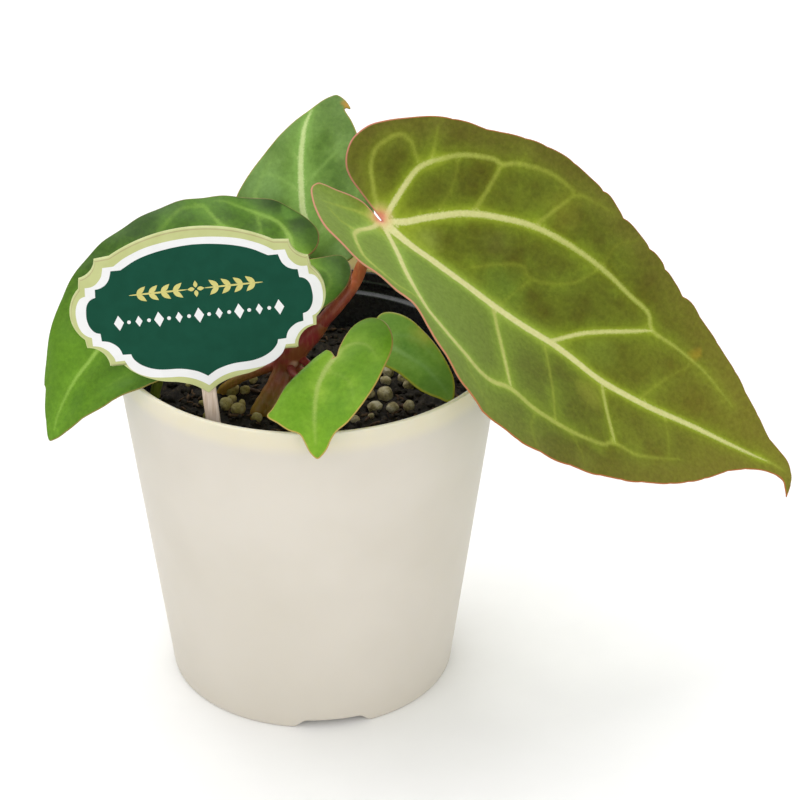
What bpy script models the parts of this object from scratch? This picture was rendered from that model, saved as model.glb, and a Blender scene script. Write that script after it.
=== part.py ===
"""A potted anthurium with five heart-shaped leaves, in a tapered cream pot with a plant label.

Metres, +Z up. The origin is the centre of the pot's base, on the surface that it stands on.
The sizes below are in millimetres, and one factor turns them into metres.
"""

import math
import random

import bmesh
import bpy
import numpy as np
from mathutils import Matrix, Vector

MM = 0.001

# Cover pot
POT_HEIGHT = 104.0
POT_RIM_RADIUS = 54.0
POT_BASE_RADIUS = 40.5
POT_WALL = 1.3
POT_FLOOR = 1.5
POT_RECESS = 3.0
POT_FOOT_WIDTH = 2.4
POT_SEGMENTS = 60
GATE_PAD_RADIUS = 8.0
NOTCH_COUNT = 3
NOTCH_HEIGHT = 2.4
NOTCH_WIDTH = 22.0
NOTCH_SLANT = 3.0
NOTCH_TURN = math.radians(7.7)
DRAIN_RADIUS = 3.5
DRAIN_RING = 24.0
DRAIN_COUNT = 4

# Grower pot
LINER_DROP = 5.0
LINER_BAND = 5.8
LINER_STEP = 1.4
LINER_WALL = 1.0
LINER_FLOOR = 1.2
LINER_SEGMENTS = 48
CLEARANCE = 0.35

# Soil
SOIL_TOP = 82.5
SOIL_MOUND = 1.2
SOIL_SEGMENTS = 36
SOIL_RINGS = 7
HOLE_DEPTH = 6.0

# Leaves
BLADE_THICKNESS = 0.7
RIB_SINK = 0.3
CREASE_RADIUS = 3.0
TIP_GAP = 0.35
JOINT_U = 1.2
TRIM_REACH = 6.0

# Label
PLAQUE_THICKNESS = 1.2
PLAQUE_LEAN = math.radians(10.0)
PLAQUE_ROLL = math.radians(5.4)
PLAQUE_POINT = (-26.7, -37.0, 107.1)
STAKE_WIDTH = 3.8
STAKE_THICKNESS = 1.6
STAKE_LINE = ((22.0, 1.5), (-1.0, 1.5), (-9.0, 2.9), (-30.0, 8.0))


def pot_radius(z):
    """Outer radius of the cover pot at a height."""
    return POT_BASE_RADIUS + (POT_RIM_RADIUS - POT_BASE_RADIUS) * z / POT_HEIGHT


def clear_scene():
    for obj in list(bpy.data.objects):
        bpy.data.objects.remove(obj, do_unlink=True)


def material(name, colour, roughness, metallic=0.0):
    """A Principled material from an sRGB colour given as three values from 0 to 255."""
    mat = bpy.data.materials.new(name)
    mat.use_nodes = True
    shader = mat.node_tree.nodes["Principled BSDF"]
    linear = [((c / 255 + 0.055) / 1.055) ** 2.4 if c > 10 else c / 255 / 12.92 for c in colour]
    shader.inputs["Base Color"].default_value = (*linear, 1.0)
    shader.inputs["Roughness"].default_value = roughness
    shader.inputs["Metallic"].default_value = metallic
    return mat


def object_from(name, points, faces, mat, smooth=True):
    """A mesh object from points in millimetres, with its faces turned outwards."""
    mesh = bpy.data.meshes.new(name)
    mesh.from_pydata([tuple(c * MM for c in p) for p in points], [], faces)
    shape = bmesh.new()
    shape.from_mesh(mesh)
    bmesh.ops.recalc_face_normals(shape, faces=shape.faces)
    shape.to_mesh(mesh)
    shape.free()
    mesh.materials.append(mat)
    if smooth:
        mesh.shade_smooth()
        mesh.set_sharp_from_angle(angle=math.radians(40))
    obj = bpy.data.objects.new(name, mesh)
    bpy.context.scene.collection.objects.link(obj)
    return obj


def turned(name, profile, segments, mat):
    """A closed profile of (radius, height) pairs turned about the Z axis."""
    points = []
    rings = []
    for radius, height in profile:
        if radius == 0.0:
            points.append((0.0, 0.0, height))
            rings.append([len(points) - 1] * segments)
            continue
        start = len(points)
        for i in range(segments):
            turn = 2 * math.pi * i / segments
            points.append((radius * math.cos(turn), radius * math.sin(turn), height))
        rings.append(list(range(start, start + segments)))
    faces = []
    closed = profile[0][0] != 0.0
    pairs = list(zip(rings, rings[1:]))
    if closed:
        pairs.append((rings[-1], rings[0]))
    for low, high in pairs:
        for i in range(segments):
            j = (i + 1) % segments
            corners = [low[i], low[j], high[j], high[i]]
            faces.append(list(dict.fromkeys(corners)))
    return object_from(name, points, [f for f in faces if len(f) > 2], mat)


def join_by_boolean(obj, helpers, operation, solver="EXACT"):
    """Unites or cuts the object with every helper at once, then removes the helpers."""
    group = bpy.data.collections.new(obj.name + "_helpers")
    bpy.context.scene.collection.children.link(group)
    for helper in helpers:
        helper.users_collection[0].objects.unlink(helper)
        group.objects.link(helper)
    modifier = obj.modifiers.new(operation.title(), "BOOLEAN")
    modifier.operation = operation
    modifier.solver = solver
    modifier.operand_type = "COLLECTION"
    modifier.collection = group
    bpy.context.view_layer.update()
    evaluated = obj.evaluated_get(bpy.context.evaluated_depsgraph_get())
    mesh = bpy.data.meshes.new_from_object(evaluated)
    obj.modifiers.remove(modifier)
    mesh.name = obj.name
    obj.data = mesh
    mesh.shade_smooth()
    mesh.set_sharp_from_angle(angle=math.radians(40))
    for helper in helpers:
        bpy.data.objects.remove(helper, do_unlink=True)
    bpy.data.collections.remove(group)


def smooth_path(points, count):
    """Places on a smooth curve through the given points, at even parameter steps."""
    control = [2 * np.array(points[0]) - np.array(points[1])]
    control += [np.array(p, float) for p in points]
    control += [2 * np.array(points[-1]) - np.array(points[-2])]
    path = []
    for t in np.linspace(0, len(points) - 1, count):
        i = min(int(t), len(points) - 2)
        s = t - i
        a, b, c, d = control[i : i + 4]
        path.append(
            0.5 * (2 * b + (c - a) * s + (2 * a - 5 * b + 4 * c - d) * s**2
                   + (3 * b - a - 3 * c + d) * s**3)
        )
    return np.array(path)


def tube(name, path, radii, sides, mat):
    """A closed tube along a path, with its own radius at each point."""
    path = np.array(path, float)
    along = np.gradient(path, axis=0)
    along /= np.linalg.norm(along, axis=1)[:, None]
    side = np.cross(along[0], (0.3, 0.9, 0.2))
    points = []
    for place, forward, radius in zip(path, along, radii):
        side = side - forward * (side @ forward)
        side /= np.linalg.norm(side)
        other = np.cross(forward, side)
        for i in range(sides):
            turn = 2 * math.pi * i / sides
            points.append(place + radius * (side * math.cos(turn) + other * math.sin(turn)))
    faces = [list(range(sides))[::-1], [len(points) - sides + i for i in range(sides)]]
    for k in range(len(path) - 1):
        for i in range(sides):
            j = (i + 1) % sides
            faces.append([k * sides + i, k * sides + j, (k + 1) * sides + j, (k + 1) * sides + i])
    return object_from(name, points, faces, mat)


def stem_radii(start, end, count, swell=0.0):
    """Radii along a stem that tapers and swells a little at its top, where the blade joins."""
    t = np.linspace(0, 1, count)
    return start + (end - start) * t + swell * np.exp(-(((1 - t) / 0.12) ** 2))


# Cover pot: a moulded tapered cup on a notched foot ring


def make_cover_pot():
    inner_base = POT_BASE_RADIUS - POT_WALL
    floor_top = POT_RECESS + POT_FLOOR
    profile = [
        (0.0, 0.0),
        (GATE_PAD_RADIUS, 0.0),
        (GATE_PAD_RADIUS, POT_RECESS),
        (inner_base - POT_FOOT_WIDTH + POT_WALL, POT_RECESS),
        (inner_base - POT_FOOT_WIDTH + POT_WALL, 0.0),
        (POT_BASE_RADIUS - 0.8, 0.0),
        (pot_radius(0.8), 0.8),
        (pot_radius(POT_HEIGHT - 0.4), POT_HEIGHT - 0.4),
        (POT_RIM_RADIUS - 0.4, POT_HEIGHT),
        (POT_RIM_RADIUS - POT_WALL, POT_HEIGHT),
        (pot_radius(floor_top) - POT_WALL, floor_top),
        (0.0, floor_top),
    ]
    pot = turned("cover_pot", profile, POT_SEGMENTS, CREAM_PLASTIC)
    cutters = []
    for i in range(NOTCH_COUNT):
        turn = NOTCH_TURN + 2 * math.pi * i / NOTCH_COUNT
        outward = Vector((math.sin(turn), -math.cos(turn), 0.0))
        sideways = Vector((math.cos(turn), math.sin(turn), 0.0))
        corners = []
        for reach in (POT_BASE_RADIUS - 6.0, POT_BASE_RADIUS + 4.0):
            for half, z in (
                (NOTCH_WIDTH / 2, -1.0),
                (NOTCH_WIDTH / 2 - NOTCH_SLANT, NOTCH_HEIGHT),
            ):
                for sign in (-1, 1):
                    corners.append(outward * reach + sideways * half * sign + Vector((0, 0, z)))
        faces = [(0, 1, 3, 2), (4, 5, 7, 6), (0, 1, 5, 4), (2, 3, 7, 6), (0, 2, 6, 4), (1, 3, 7, 5)]
        cutters.append(object_from("notch_cutter", corners, faces, CREAM_PLASTIC, smooth=False))
    cutters += drain_cutters(0.0, POT_RECESS + POT_FLOOR)
    join_by_boolean(pot, cutters, "DIFFERENCE")
    return pot


def drain_cutters(low, high):
    cutters = []
    for i in range(DRAIN_COUNT):
        turn = 2 * math.pi * (i + 0.5) / DRAIN_COUNT
        x, y = DRAIN_RING * math.cos(turn), DRAIN_RING * math.sin(turn)
        cutters.append(tube("drain_cutter", [(x, y, low - 1), (x, y, high + 1)],
                            [DRAIN_RADIUS] * 2, 12, BLACK_PLASTIC))
    return cutters


# Grower pot: a thin black nursery pot that stands inside the cover pot


def liner_outer(z):
    """Outer radius of the grower pot: its band fills the cover pot, its wall steps in below."""
    step = POT_HEIGHT - LINER_DROP - LINER_BAND
    fit = pot_radius(z) - POT_WALL - CLEARANCE
    return fit if z > step else fit - LINER_STEP


def make_grower_pot():
    top = POT_HEIGHT - LINER_DROP
    step = top - LINER_BAND
    base = POT_RECESS + POT_FLOOR + CLEARANCE
    floor_top = base + LINER_FLOOR
    profile = [
        (0.0, base),
        (liner_outer(base) - 1.0, base),
        (liner_outer(base + 1.0), base + 1.0),
        (liner_outer(step - 0.6), step - 0.6),
        (liner_outer(step + 0.1), step + 0.1),
        (liner_outer(top), top),
        (liner_outer(top) - LINER_WALL, top),
        (liner_outer(step + 0.1) - LINER_WALL, step + 0.1),
        (liner_outer(step - 0.6) - LINER_WALL, step - 0.6),
        (liner_outer(floor_top) - LINER_WALL, floor_top),
        (0.0, floor_top),
    ]
    pot = turned("grower_pot", profile, LINER_SEGMENTS, BLACK_PLASTIC)
    join_by_boolean(pot, drain_cutters(base, floor_top), "DIFFERENCE")
    return pot


# Soil: one block of potting mix, with its crumbly top and the perlite beads in it


def soil_height(x, y):
    """Height of the potting mix, a low mound with lumps."""
    reach = math.hypot(x, y) / 45.0
    lumps = 0.5 * math.sin(0.42 * x + 1.3) * math.sin(0.37 * y + 0.4)
    lumps += 0.35 * math.sin(0.83 * x - 0.61 * y)
    return SOIL_TOP + SOIL_MOUND * (1 - reach**2) + lumps


PERLITE_SEEN = [
    (-22.4, 8.7, 2.4), (-19.6, 5.7, 1.8), (-22.8, -3.9, 1.9), (-20.2, -7.3, 1.9),
    (-16.6, -9.6, 1.5), (21.5, 12.1, 2.0), (20.8, 7.5, 1.5), (18.4, 0.7, 1.4),
    (20.9, 1.8, 1.8), (17.9, -6.1, 1.7), (22.6, -7.3, 1.6), (26.8, -6.3, 1.5),
    (25.7, 10.3, 1.4), (27.8, 6.2, 1.6), (12.5, -11.5, 1.4), (-29.2, 10.6, 1.4),
]
PERLITE_MORE = 16
PERLITE_SEED = 7


def perlite_places():
    """The beads that show, then more by a seeded draw over the rest of the surface."""
    draw = random.Random(PERLITE_SEED)
    places = list(PERLITE_SEEN)
    while len(places) < len(PERLITE_SEEN) + PERLITE_MORE:
        reach, turn = 41.0 * math.sqrt(draw.random()), draw.uniform(0, 2 * math.pi)
        x, y, size = reach * math.cos(turn), reach * math.sin(turn), draw.uniform(1.2, 2.1)
        apart = min(math.hypot(x - a, y - b) - c for a, b, c in places + SOIL_KEEPOUT)
        if apart > size + 0.8:
            places.append((x, y, size))
    return places


def bead(x, y, size):
    """A rough perlite bead as a squashed low ball, sunk over half its depth."""
    shape = bmesh.new()
    bmesh.ops.create_icosphere(shape, subdivisions=1, radius=size)
    turn = Matrix.Rotation(x * 1.7, 3, "Z") @ Matrix.Rotation(y * 0.9, 3, "X")
    bmesh.ops.transform(shape, matrix=turn.to_4x4(), verts=shape.verts)
    centre = Vector((x, y, soil_height(x, y) + 0.15 * size))
    points = [(v.co.x, v.co.y, v.co.z * 0.85) for v in shape.verts]
    points = [tuple(Vector(p) + centre) for p in points]
    faces = [[v.index for v in f.verts] for f in shape.faces]
    shape.free()
    return object_from("bead", points, faces, SOIL_BROWN)


def make_soil():
    base = POT_RECESS + POT_FLOOR + CLEARANCE + LINER_FLOOR + CLEARANCE
    gap = LINER_WALL + CLEARANCE
    points = [(0.0, 0.0, soil_height(0, 0))]
    faces = []
    edge = liner_outer(SOIL_TOP - 3.0) - gap
    for k in range(1, SOIL_RINGS + 1):
        for i in range(SOIL_SEGMENTS):
            turn = 2 * math.pi * (i + 0.5 * (k % 2)) / SOIL_SEGMENTS
            x, y = (edge * k / SOIL_RINGS * math.cos(turn), edge * k / SOIL_RINGS * math.sin(turn))
            points.append((x, y, soil_height(x, y)))
    for z, radius in ((base, liner_outer(base + 1.0) - gap),):
        for i in range(SOIL_SEGMENTS):
            turn = 2 * math.pi * (i + 0.5 * (SOIL_RINGS % 2)) / SOIL_SEGMENTS
            points.append((radius * math.cos(turn), radius * math.sin(turn), z))
    for i in range(SOIL_SEGMENTS):
        faces.append((0, 1 + i, 1 + (i + 1) % SOIL_SEGMENTS))
    for k in range(1, SOIL_RINGS + 1):
        low, high = 1 + (k - 1) * SOIL_SEGMENTS, 1 + k * SOIL_SEGMENTS
        shift = 1 if k % 2 == 1 and k < SOIL_RINGS else 0
        for i in range(SOIL_SEGMENTS):
            j = (i + 1) % SOIL_SEGMENTS
            a, b, c, d = low + i, low + j, high + j, high + i
            if k == SOIL_RINGS:
                faces.append((a, b, c, d))
            elif shift:
                faces += [(a, c, d), (a, b, c)]
            else:
                faces += [(a, b, d), (b, c, d)]
    floor = 1 + SOIL_RINGS * SOIL_SEGMENTS
    faces.append([floor + i for i in range(SOIL_SEGMENTS)])
    soil = object_from("soil", points, faces, SOIL_BROWN)
    join_by_boolean(soil, [bead(*place) for place in perlite_places()], "UNION", "MANIFOLD")
    return soil


# Stems: the crown on its prop roots, and a petiole for each leaf

CROWN_LINE = [(-7.6, 0.5, 91.5), (-6.6, 0.0, 95.0), (-3.2, 0.0, 101.2), (0.8, -0.4, 105.4),
              (3.2, -0.8, 108.4)]
CROWN_RADII = (2.2, 3.5, 3.9, 3.2, 2.4)
PROP_ROOTS = {
    "front_left": ([(-7.6, -0.8, 95.5), (-9.8, -3.2, 91.0), (-12.6, -5.0, 86.8), (-14.4, -6.2, 83.6),
                    (-15.2, -6.8, 78.5)], 1.9),
    "front": ([(-5.8, -1.6, 94.6), (-7.2, -4.6, 90.0), (-9.4, -6.4, 86.0), (-10.6, -7.4, 83.0),
               (-11.0, -7.8, 78.5)], 1.6),
    "left": ([(-8.4, 1.0, 94.5), (-13.0, 3.4, 91.4), (-19.4, 5.0, 88.0), (-24.2, 5.8, 84.0),
              (-25.6, 6.0, 78.5)], 1.3),
    "back": ([(-5.6, 1.6, 94.6), (-3.4, 6.0, 90.0), (-1.0, 8.6, 84.5), (-0.4, 9.4, 78.5)], 1.7),
    "right": ([(-5.0, 0.6, 94.0), (0.4, 0.6, 90.2), (4.6, 0.4, 84.6), (5.6, 0.2, 78.5)], 1.6),
}
STAKE_FOOT = (-24.4, -33.6)
SHOOT_LINE = [(-44.0, 0.5, 79.0), (-43.0, 0.0, 87.0), (-40.6, 0.5, 95.0), (-37.0, 2.0, 103.0),
              (-34.8, 3.4, 109.5)]
SOIL_KEEPOUT = (
    [(*line[-1][:2], 3.0) for line, _ in PROP_ROOTS.values()]
    + [(*STAKE_FOOT, 4.0), (*SHOOT_LINE[0][:2], 3.0), (-12.0, -5.0, 6.0)]
)


def make_crown(soil):
    """The short stem and its prop roots, which stand in plain holes in the soil."""
    crown = tube("crown", smooth_path(CROWN_LINE, 9),
                 np.interp(np.linspace(0, 4, 9), range(5), CROWN_RADII), 10, CROWN_RED)
    roots = []
    holes = []
    for line, radius in PROP_ROOTS.values():
        count = 8
        path = smooth_path(line, count)
        flare = 1 + 0.35 * np.linspace(0, 1, count) ** 3
        roots.append(tube("root", path, radius * flare, 7, ROOT_BROWN))
        below = np.concatenate([path[-4:], [path[-1] + (0, 0, -1.2)]])
        holes.append(tube("hole", below, [radius * 1.35 + CLEARANCE] * len(below), 10, ROOT_BROWN))
    join_by_boolean(crown, roots, "UNION", "MANIFOLD")
    join_by_boolean(soil, holes, "DIFFERENCE", "MANIFOLD")
    return crown


def make_petiole(key, line, start, end, swell, crown=None):
    """A leaf stem: it starts in a socket in the crown and stops just under its blade."""
    joint = below_blade(key)
    past = joint + 2.5 * (joint - line[-1]) / np.linalg.norm(joint - line[-1])
    path = smooth_path([*line, joint], 3 * len(line))
    radii = stem_radii(start, end, len(path), swell)
    if crown:
        ahead = (path[1] - path[0]) / np.linalg.norm(path[1] - path[0])
        reach = len(path) // 2
        socket = tube("socket", [path[0] - CLEARANCE * ahead, *path[:reach]],
                      np.array([radii[0], *radii[:reach]]) + CLEARANCE, 9, PETIOLE_RED)
        join_by_boolean(crown, [socket], "DIFFERENCE", "MANIFOLD")
    petiole = tube("petiole_" + key, [*path[:-1], past], radii, 9, PETIOLE_RED)
    trim_under_blade(petiole, key)
    return petiole


def trim_under_blade(petiole, key):
    """Cuts the top of a petiole square to the blade that sits on it."""
    normal = LEAVES[key]["form"].normal(JOINT_U, 0.0)
    joint = Vector(below_blade(key) * MM)
    shape = bmesh.new()
    shape.from_mesh(petiole.data)
    top = [v for v in shape.verts if (v.co - joint).length < TRIM_REACH * MM]
    edges = list({e for v in top for e in v.link_edges})
    faces = list({f for v in top for f in v.link_faces})
    bmesh.ops.bisect_plane(shape, geom=top + edges + faces, plane_co=joint,
                           plane_no=normal, clear_outer=True)
    bmesh.ops.holes_fill(shape, edges=shape.edges)
    bmesh.ops.recalc_face_normals(shape, faces=shape.faces)
    shape.to_mesh(petiole.data)
    shape.free()


# Leaves: each blade is a heart drawn flat, with u along the midrib and v across, then bent


class LeafForm:
    """Maps the flat drawing of a blade to its bent and folded shape in space."""

    def __init__(self, joint, azimuth, elevation, roll, bend, folds, roll_under=None):
        azimuth, elevation, roll = map(math.radians, (azimuth, elevation, roll))
        self.joint = np.array(joint)
        self.ahead = np.array((math.cos(elevation) * math.cos(azimuth),
                               math.cos(elevation) * math.sin(azimuth), math.sin(elevation)))
        level = np.array((-math.sin(azimuth), math.cos(azimuth), 0.0))
        upright = np.cross(self.ahead, level)
        self.across = level * math.cos(roll) + upright * math.sin(roll)
        self.up = upright * math.cos(roll) - level * math.sin(roll)
        self.folds = [np.array(table, float).T for table in folds]
        self.roll_under = roll_under
        start, end, degrees = bend
        self.u = np.linspace(-60, 170, 921)
        angle = np.radians(degrees) * np.clip((self.u - start) / (end - start), 0, 1)
        angle -= np.interp(0, self.u, angle)
        step = self.u[1] - self.u[0]
        self.angle = angle
        self.reach = np.cumsum(np.cos(angle)) * step
        self.reach -= np.interp(0, self.u, self.reach)
        self.drop = np.cumsum(np.sin(angle)) * step
        self.drop -= np.interp(0, self.u, self.drop)

    def height(self, u, v):
        """Height above the bent midrib sheet: the two halves fold up, and an edge may roll."""
        table = self.folds[0] if v > 0 else self.folds[1]
        slope = np.interp(u, table[0], table[1])
        height = slope * (math.hypot(v, CREASE_RADIUS) - CREASE_RADIUS)
        if self.roll_under:
            start, lean, steep = self.roll_under
            past = -(v + start + lean * u)
            if past > 0:
                height -= steep * (math.hypot(past, 1.0) - 1.0)
        return height

    def place(self, u, v, lift=0.0):
        """The point of the blade's middle sheet, or one lifted off it."""
        if lift:
            return self.place(u, v) + lift * self.normal(u, v)
        angle = np.interp(u, self.u, self.angle)
        local_up = self.ahead * math.sin(angle) + self.up * math.cos(angle)
        return (self.joint + self.ahead * np.interp(u, self.u, self.reach)
                - self.up * np.interp(u, self.u, self.drop) + self.across * v
                + local_up * self.height(u, v))

    def normal(self, u, v):
        d = 0.4
        along = self.place(u + d, v) - self.place(u - d, v)
        sideways = self.place(u, v + d) - self.place(u, v - d)
        normal = np.cross(along, sideways)
        return normal / np.linalg.norm(normal)


LEAVES = {
    "large": dict(
        form=LeafForm((20.2, -4.0, 140.8), -5.5, -31.9, 33, (0, 145, 8), [
            [(-20, 0.45), (40, 0.35), (120, 0.25)],
            [(-20, 1.0), (10, 0.85), (40, 0.45), (80, 0.25), (120, 0.2)],
        ]),
        outline=[
            (0, 0), (-3.3, 1.6), (-6.5, 3), (-10, 4.4), (-13, 5.7), (-15.8, 7.8), (-17.6, 11),
            (-18, 15), (-16.2, 19.5), (-12.8, 23.3), (-8.3, 26.6), (-1, 30.6), (7, 33.7),
            (16, 37), (26.5, 40), (37, 41), (47.5, 39.7), (56, 37.8), (64.5, 35.2), (73, 33),
            (82, 29.8), (91, 26.6), (100.5, 22.8), (110.5, 18.4), (121, 12.8), (127.5, 9),
            (133.5, 6.8), (137.7, 5.4), (140.6, 3.2), (141.8, 0), (141.2, -4.8), (140, -2),
            (138.4, -0.2), (133.5, -0.9), (128.5, -3), (124, -6.2), (119.5, -10.2),
            (113.7, -16.4), (107.7, -22), (98.4, -28.6), (89, -34), (79.5, -38.4), (69.3, -42.5),
            (59, -45.6), (50, -46.9), (40, -46.6), (31, -45), (23, -41.8), (16, -36.8), (10, -32.8),
            (4, -31.6), (-4.5, -30.2), (-10, -28.7), (-14.3, -25.8), (-18, -21.5), (-20.5, -14.5),
            (-21.6, -7.5), (-21.8, -2.8), (-20.8, 0), (-18.8, 0.8), (-15, 1.1), (-11, 1), (-7, 0.6),
            (-3.4, 0.1),
        ],
        ribs=[
            ([(0, 0), (17, -2.4), (37, -6), (55, -6.4), (75, -7.2), (95, -4.8), (118, -0.8),
              (136, 2.6)], 2.2),
            ([(0, 0.6), (8, 5.7), (21, 15), (39, 20.4), (57, 20.8), (74, 19.2), (83, 15.4),
              (97, 14), (113, 9.8)], 1.5),
            ([(0, 0.8), (0.6, 9.2), (4.2, 20.6), (13.6, 28), (22, 30), (30, 34), (41.8, 34.6),
              (56, 35.2)], 1.4),
            ([(0, 0.6), (-7.4, 7.6), (-11, 14), (-8.4, 21)], 1.2),
            ([(0, -0.6), (-6.8, -12), (-7.8, -17), (-4, -25), (4, -28.6)], 1.3),
            ([(0.6, -0.8), (5.9, -9.7), (11.5, -23), (21, -30), (33, -33.2), (47.5, -32.4),
              (63, -31.6), (78, -28), (90, -23.8), (98, -20.8)], 1.5),
            ([(54, -6.2), (69.4, 6), (81.6, 14)], 1.1),
            ([(36, -6.6), (42.3, -17.6), (47.4, -31)], 1.1),
            ([(74.8, -8.4), (79.1, -17.1), (84, -25)], 1.1),
        ],
        rings=6, wave=0.6, waves=11,
    ),
    "back": dict(
        form=LeafForm((1.3, 23.2, 122.7), 74.9, 51.7, 0, (0, 44.5, 10), [
            [(0, 0.15), (50, 0.15)],
            [(0, 0.15), (50, 0.15)],
        ]),
        outline=[
            (0, 0.3), (-4, 2.4), (-7, 5.6), (-8.2, 9.8), (-7.6, 14.2), (-4.6, 18.8), (-0.4, 21.8),
            (4.2, 22.9), (9, 22.5), (14, 20.6), (19, 18.2), (24.4, 15.6), (28.2, 13.2), (32, 10.4),
            (36, 6.8), (39.4, 3.8), (42, 1.5), (42.8, 0.2), (41.6, -1.6), (38.4, -3.4),
            (34.8, -6), (31, -8.2), (26, -10.6), (20, -13.6), (13, -16), (6, -17.2), (0.4, -16),
            (-2.8, -13), (-4.4, -8.6), (-5.2, -4.8), (-3.6, -2.2), (-1.8, -0.6),
        ],
        ribs=[
            ([(0.5, 0.4), (8, 4.2), (18, 6), (29, 7.2), (36, 6.2), (41, 1.9)], 1.5),
            ([(9, 4.6), (18.9, 2), (25, -2.5)], 1.0),
            ([(1, 0.8), (3, 8), (9.7, 16.8), (16.5, 16.3)], 1.1),
            ([(0.5, -0.2), (2.2, -2.6), (8, -9), (16, -11.4)], 1.1),
        ],
        rings=4, wave=0.4, waves=7,
    ),
    "left": dict(
        form=LeafForm((-1.6, 5.0, 125.0), -151.2, 2.6, -25, (10, 88.7, 60), [
            [(0, 0.0), (60, 0.0)],
            [(0, 0.0), (60, 0.0)],
        ]),
        outline=[
            (0, 0), (-4, 0.3), (-8, 0.6), (-11, 1), (-12.4, 2.2), (-12.8, 4.4), (-12.2, 7),
            (-10.7, 9.4), (-8.5, 11.8), (-5.5, 13.9), (-2.2, 15.7), (4, 18.4), (10, 20.8),
            (17, 23), (26, 24.6), (36, 24.3), (45, 22.6),
            (53, 20.5), (60, 18.9), (67, 17.6), (75, 16.6), (82, 15.7), (86, 15.4), (89, 13.6),
            (86.3, 7.4), (83.3, 1), (79.6, -4.6), (75.5, -9.9), (70.5, -15), (64, -20.2),
            (55.5, -24.8), (47.5, -27.6), (41, -28.8), (30, -30), (19.6, -29.4), (8.2, -26.9),
            (1.5, -24), (-2.6, -21.6), (-5.8, -18.2), (-8.3, -14), (-9.4, -9.5), (-8.6, -6.3),
            (-6.8, -3.7), (-4.6, -1.9), (-2.2, -0.8),
        ],
        ribs=[
            ([(0.4, -0.2), (15, -2.6), (32, -2.8), (50, -0.6), (64, 1.6), (73, 3.9), (81, 8),
              (86, 12)], 1.6),
            ([(0, -1), (-0.6, -9), (0.8, -15.6), (5.9, -19.8), (16, -24), (30, -24.4)], 1.1),
            ([(1, -1.6), (7.5, -11), (20, -17.4), (38, -19.6), (56, -17)], 1.2),
            ([(0.6, 1), (6, 9.6), (17, 15.4), (33, 17.2), (52, 14.4)], 1.2),
            ([(-0.6, 1.2), (-5, 6), (-3, 11), (4, 15.4)], 1.0),
        ],
        rings=5, wave=0.5, waves=8,
    ),
    "small_front": dict(
        form=LeafForm((7.1, -36.0, 117.0), -102.7, -19.7, 0, (-5, 33, 30), [
            [(0, 0.2), (50, 0.2)],
            [(0, 0.2), (50, 0.2)],
        ], roll_under=(3.2, 0.52, 1.5)),
        outline=[
            (0, 0), (-3.5, 0.2), (-8, 1), (-12.2, 2.6), (-14.8, 5.4), (-14.7, 8.6), (-12.4, 11.4),
            (-7.8, 13.9), (-3, 14.8), (1.8, 14.4), (8, 12.9), (14.7, 10.4), (20, 7.2),
            (22.8, 4.6), (25, 3.5), (28, 2.7), (30, 1.5), (30.9, 0.3), (29.4, -1.8), (27, -3.5),
            (25, -5.2), (24.4, -8.2), (23, -11.2), (21.4, -14), (17.5, -15.4), (11, -13.8),
            (4.5, -11), (-0.6, -7.6), (-2.4, -4.4), (-1.6, -1.6),
        ],
        ribs=[
            ([(0.4, -0.2), (5, -1.8), (11, -2.8), (19, -2.2), (27, -0.6)], 1.2),
            ([(0, 0.4), (-3.4, 1.6), (-5, 4.4), (-3.8, 8)], 0.9),
        ],
        rings=4, wave=0.3, waves=5,
    ),
    "small_right": dict(
        form=LeafForm((19.7, -12.0, 108.9), -38.5, -16.0, 25, (0, 29, 25), [
            [(0, 0.1), (50, 0.1)],
            [(0, 0.1), (50, 0.1)],
        ]),
        outline=[
            (0, 0), (-2.6, 1.4), (-5, 3.4), (-5.4, 6), (-4, 8), (-1.2, 9.3), (2.6, 9.8),
            (7.2, 9.3), (11.5, 8.5), (15.5, 7.3), (19.2, 5.9), (22.4, 4.2), (25, 1.6),
            (26.3, -0.8), (25.2, -2.4), (23, -3.2), (20.4, -4.3), (17.5, -5), (14, -5.2),
            (9.7, -5.2), (5, -6.2), (0.4, -6.8), (-3.4, -5.8), (-4.4, -3.6), (-2.4, -1.4),
        ],
        ribs=[
            ([(0.4, 0), (4.5, 0.1), (9, 0.6), (14, 1.2), (21, 0.4)], 1.0),
        ],
        rings=3, wave=0.25, waves=4,
    ),
}


def blade_solid(name, leaf, mat):
    """A thin closed blade: rings shrink from the outline to a hub just ahead of the joint."""
    form, outline, rings = leaf["form"], leaf["outline"], leaf["rings"]
    hub = np.array((3.0, 0.0)) if len(outline) > 35 else np.array((1.6, 0.0))
    count = len(outline)
    half = BLADE_THICKNESS / 2
    points = [form.place(*hub, half), form.place(*hub, -half)]
    for k in range(1, rings + 1):
        share = (k / rings) ** 0.9
        for side in (half, -half):
            for i, corner in enumerate(outline):
                u, v = hub + (np.array(corner) - hub) * share
                calm = min(1.0, math.hypot(u, v) / 14)
                wave = leaf["wave"] * calm**2 * share**5
                wave *= math.sin(2 * math.pi * leaf["waves"] * i / count)
                points.append(form.place(u, v, side + wave))
    faces = []
    for side in (0, 1):
        ring = [2 + side * count + i for i in range(count)]
        for i in range(count):
            faces.append((side, ring[i], ring[(i + 1) % count]))
        for k in range(1, rings):
            low = 2 + (2 * (k - 1) + side) * count
            high = 2 + (2 * k + side) * count
            for i in range(count):
                j = (i + 1) % count
                faces.append((low + i, high + i, high + j))
                faces.append((low + i, high + j, low + j))
    top = 2 + 2 * (rings - 1) * count
    for i in range(count):
        j = (i + 1) % count
        faces.append((top + i, top + j, top + count + j))
        faces.append((top + i, top + count + j, top + count + i))
    return object_from(name, points, faces, mat)


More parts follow.
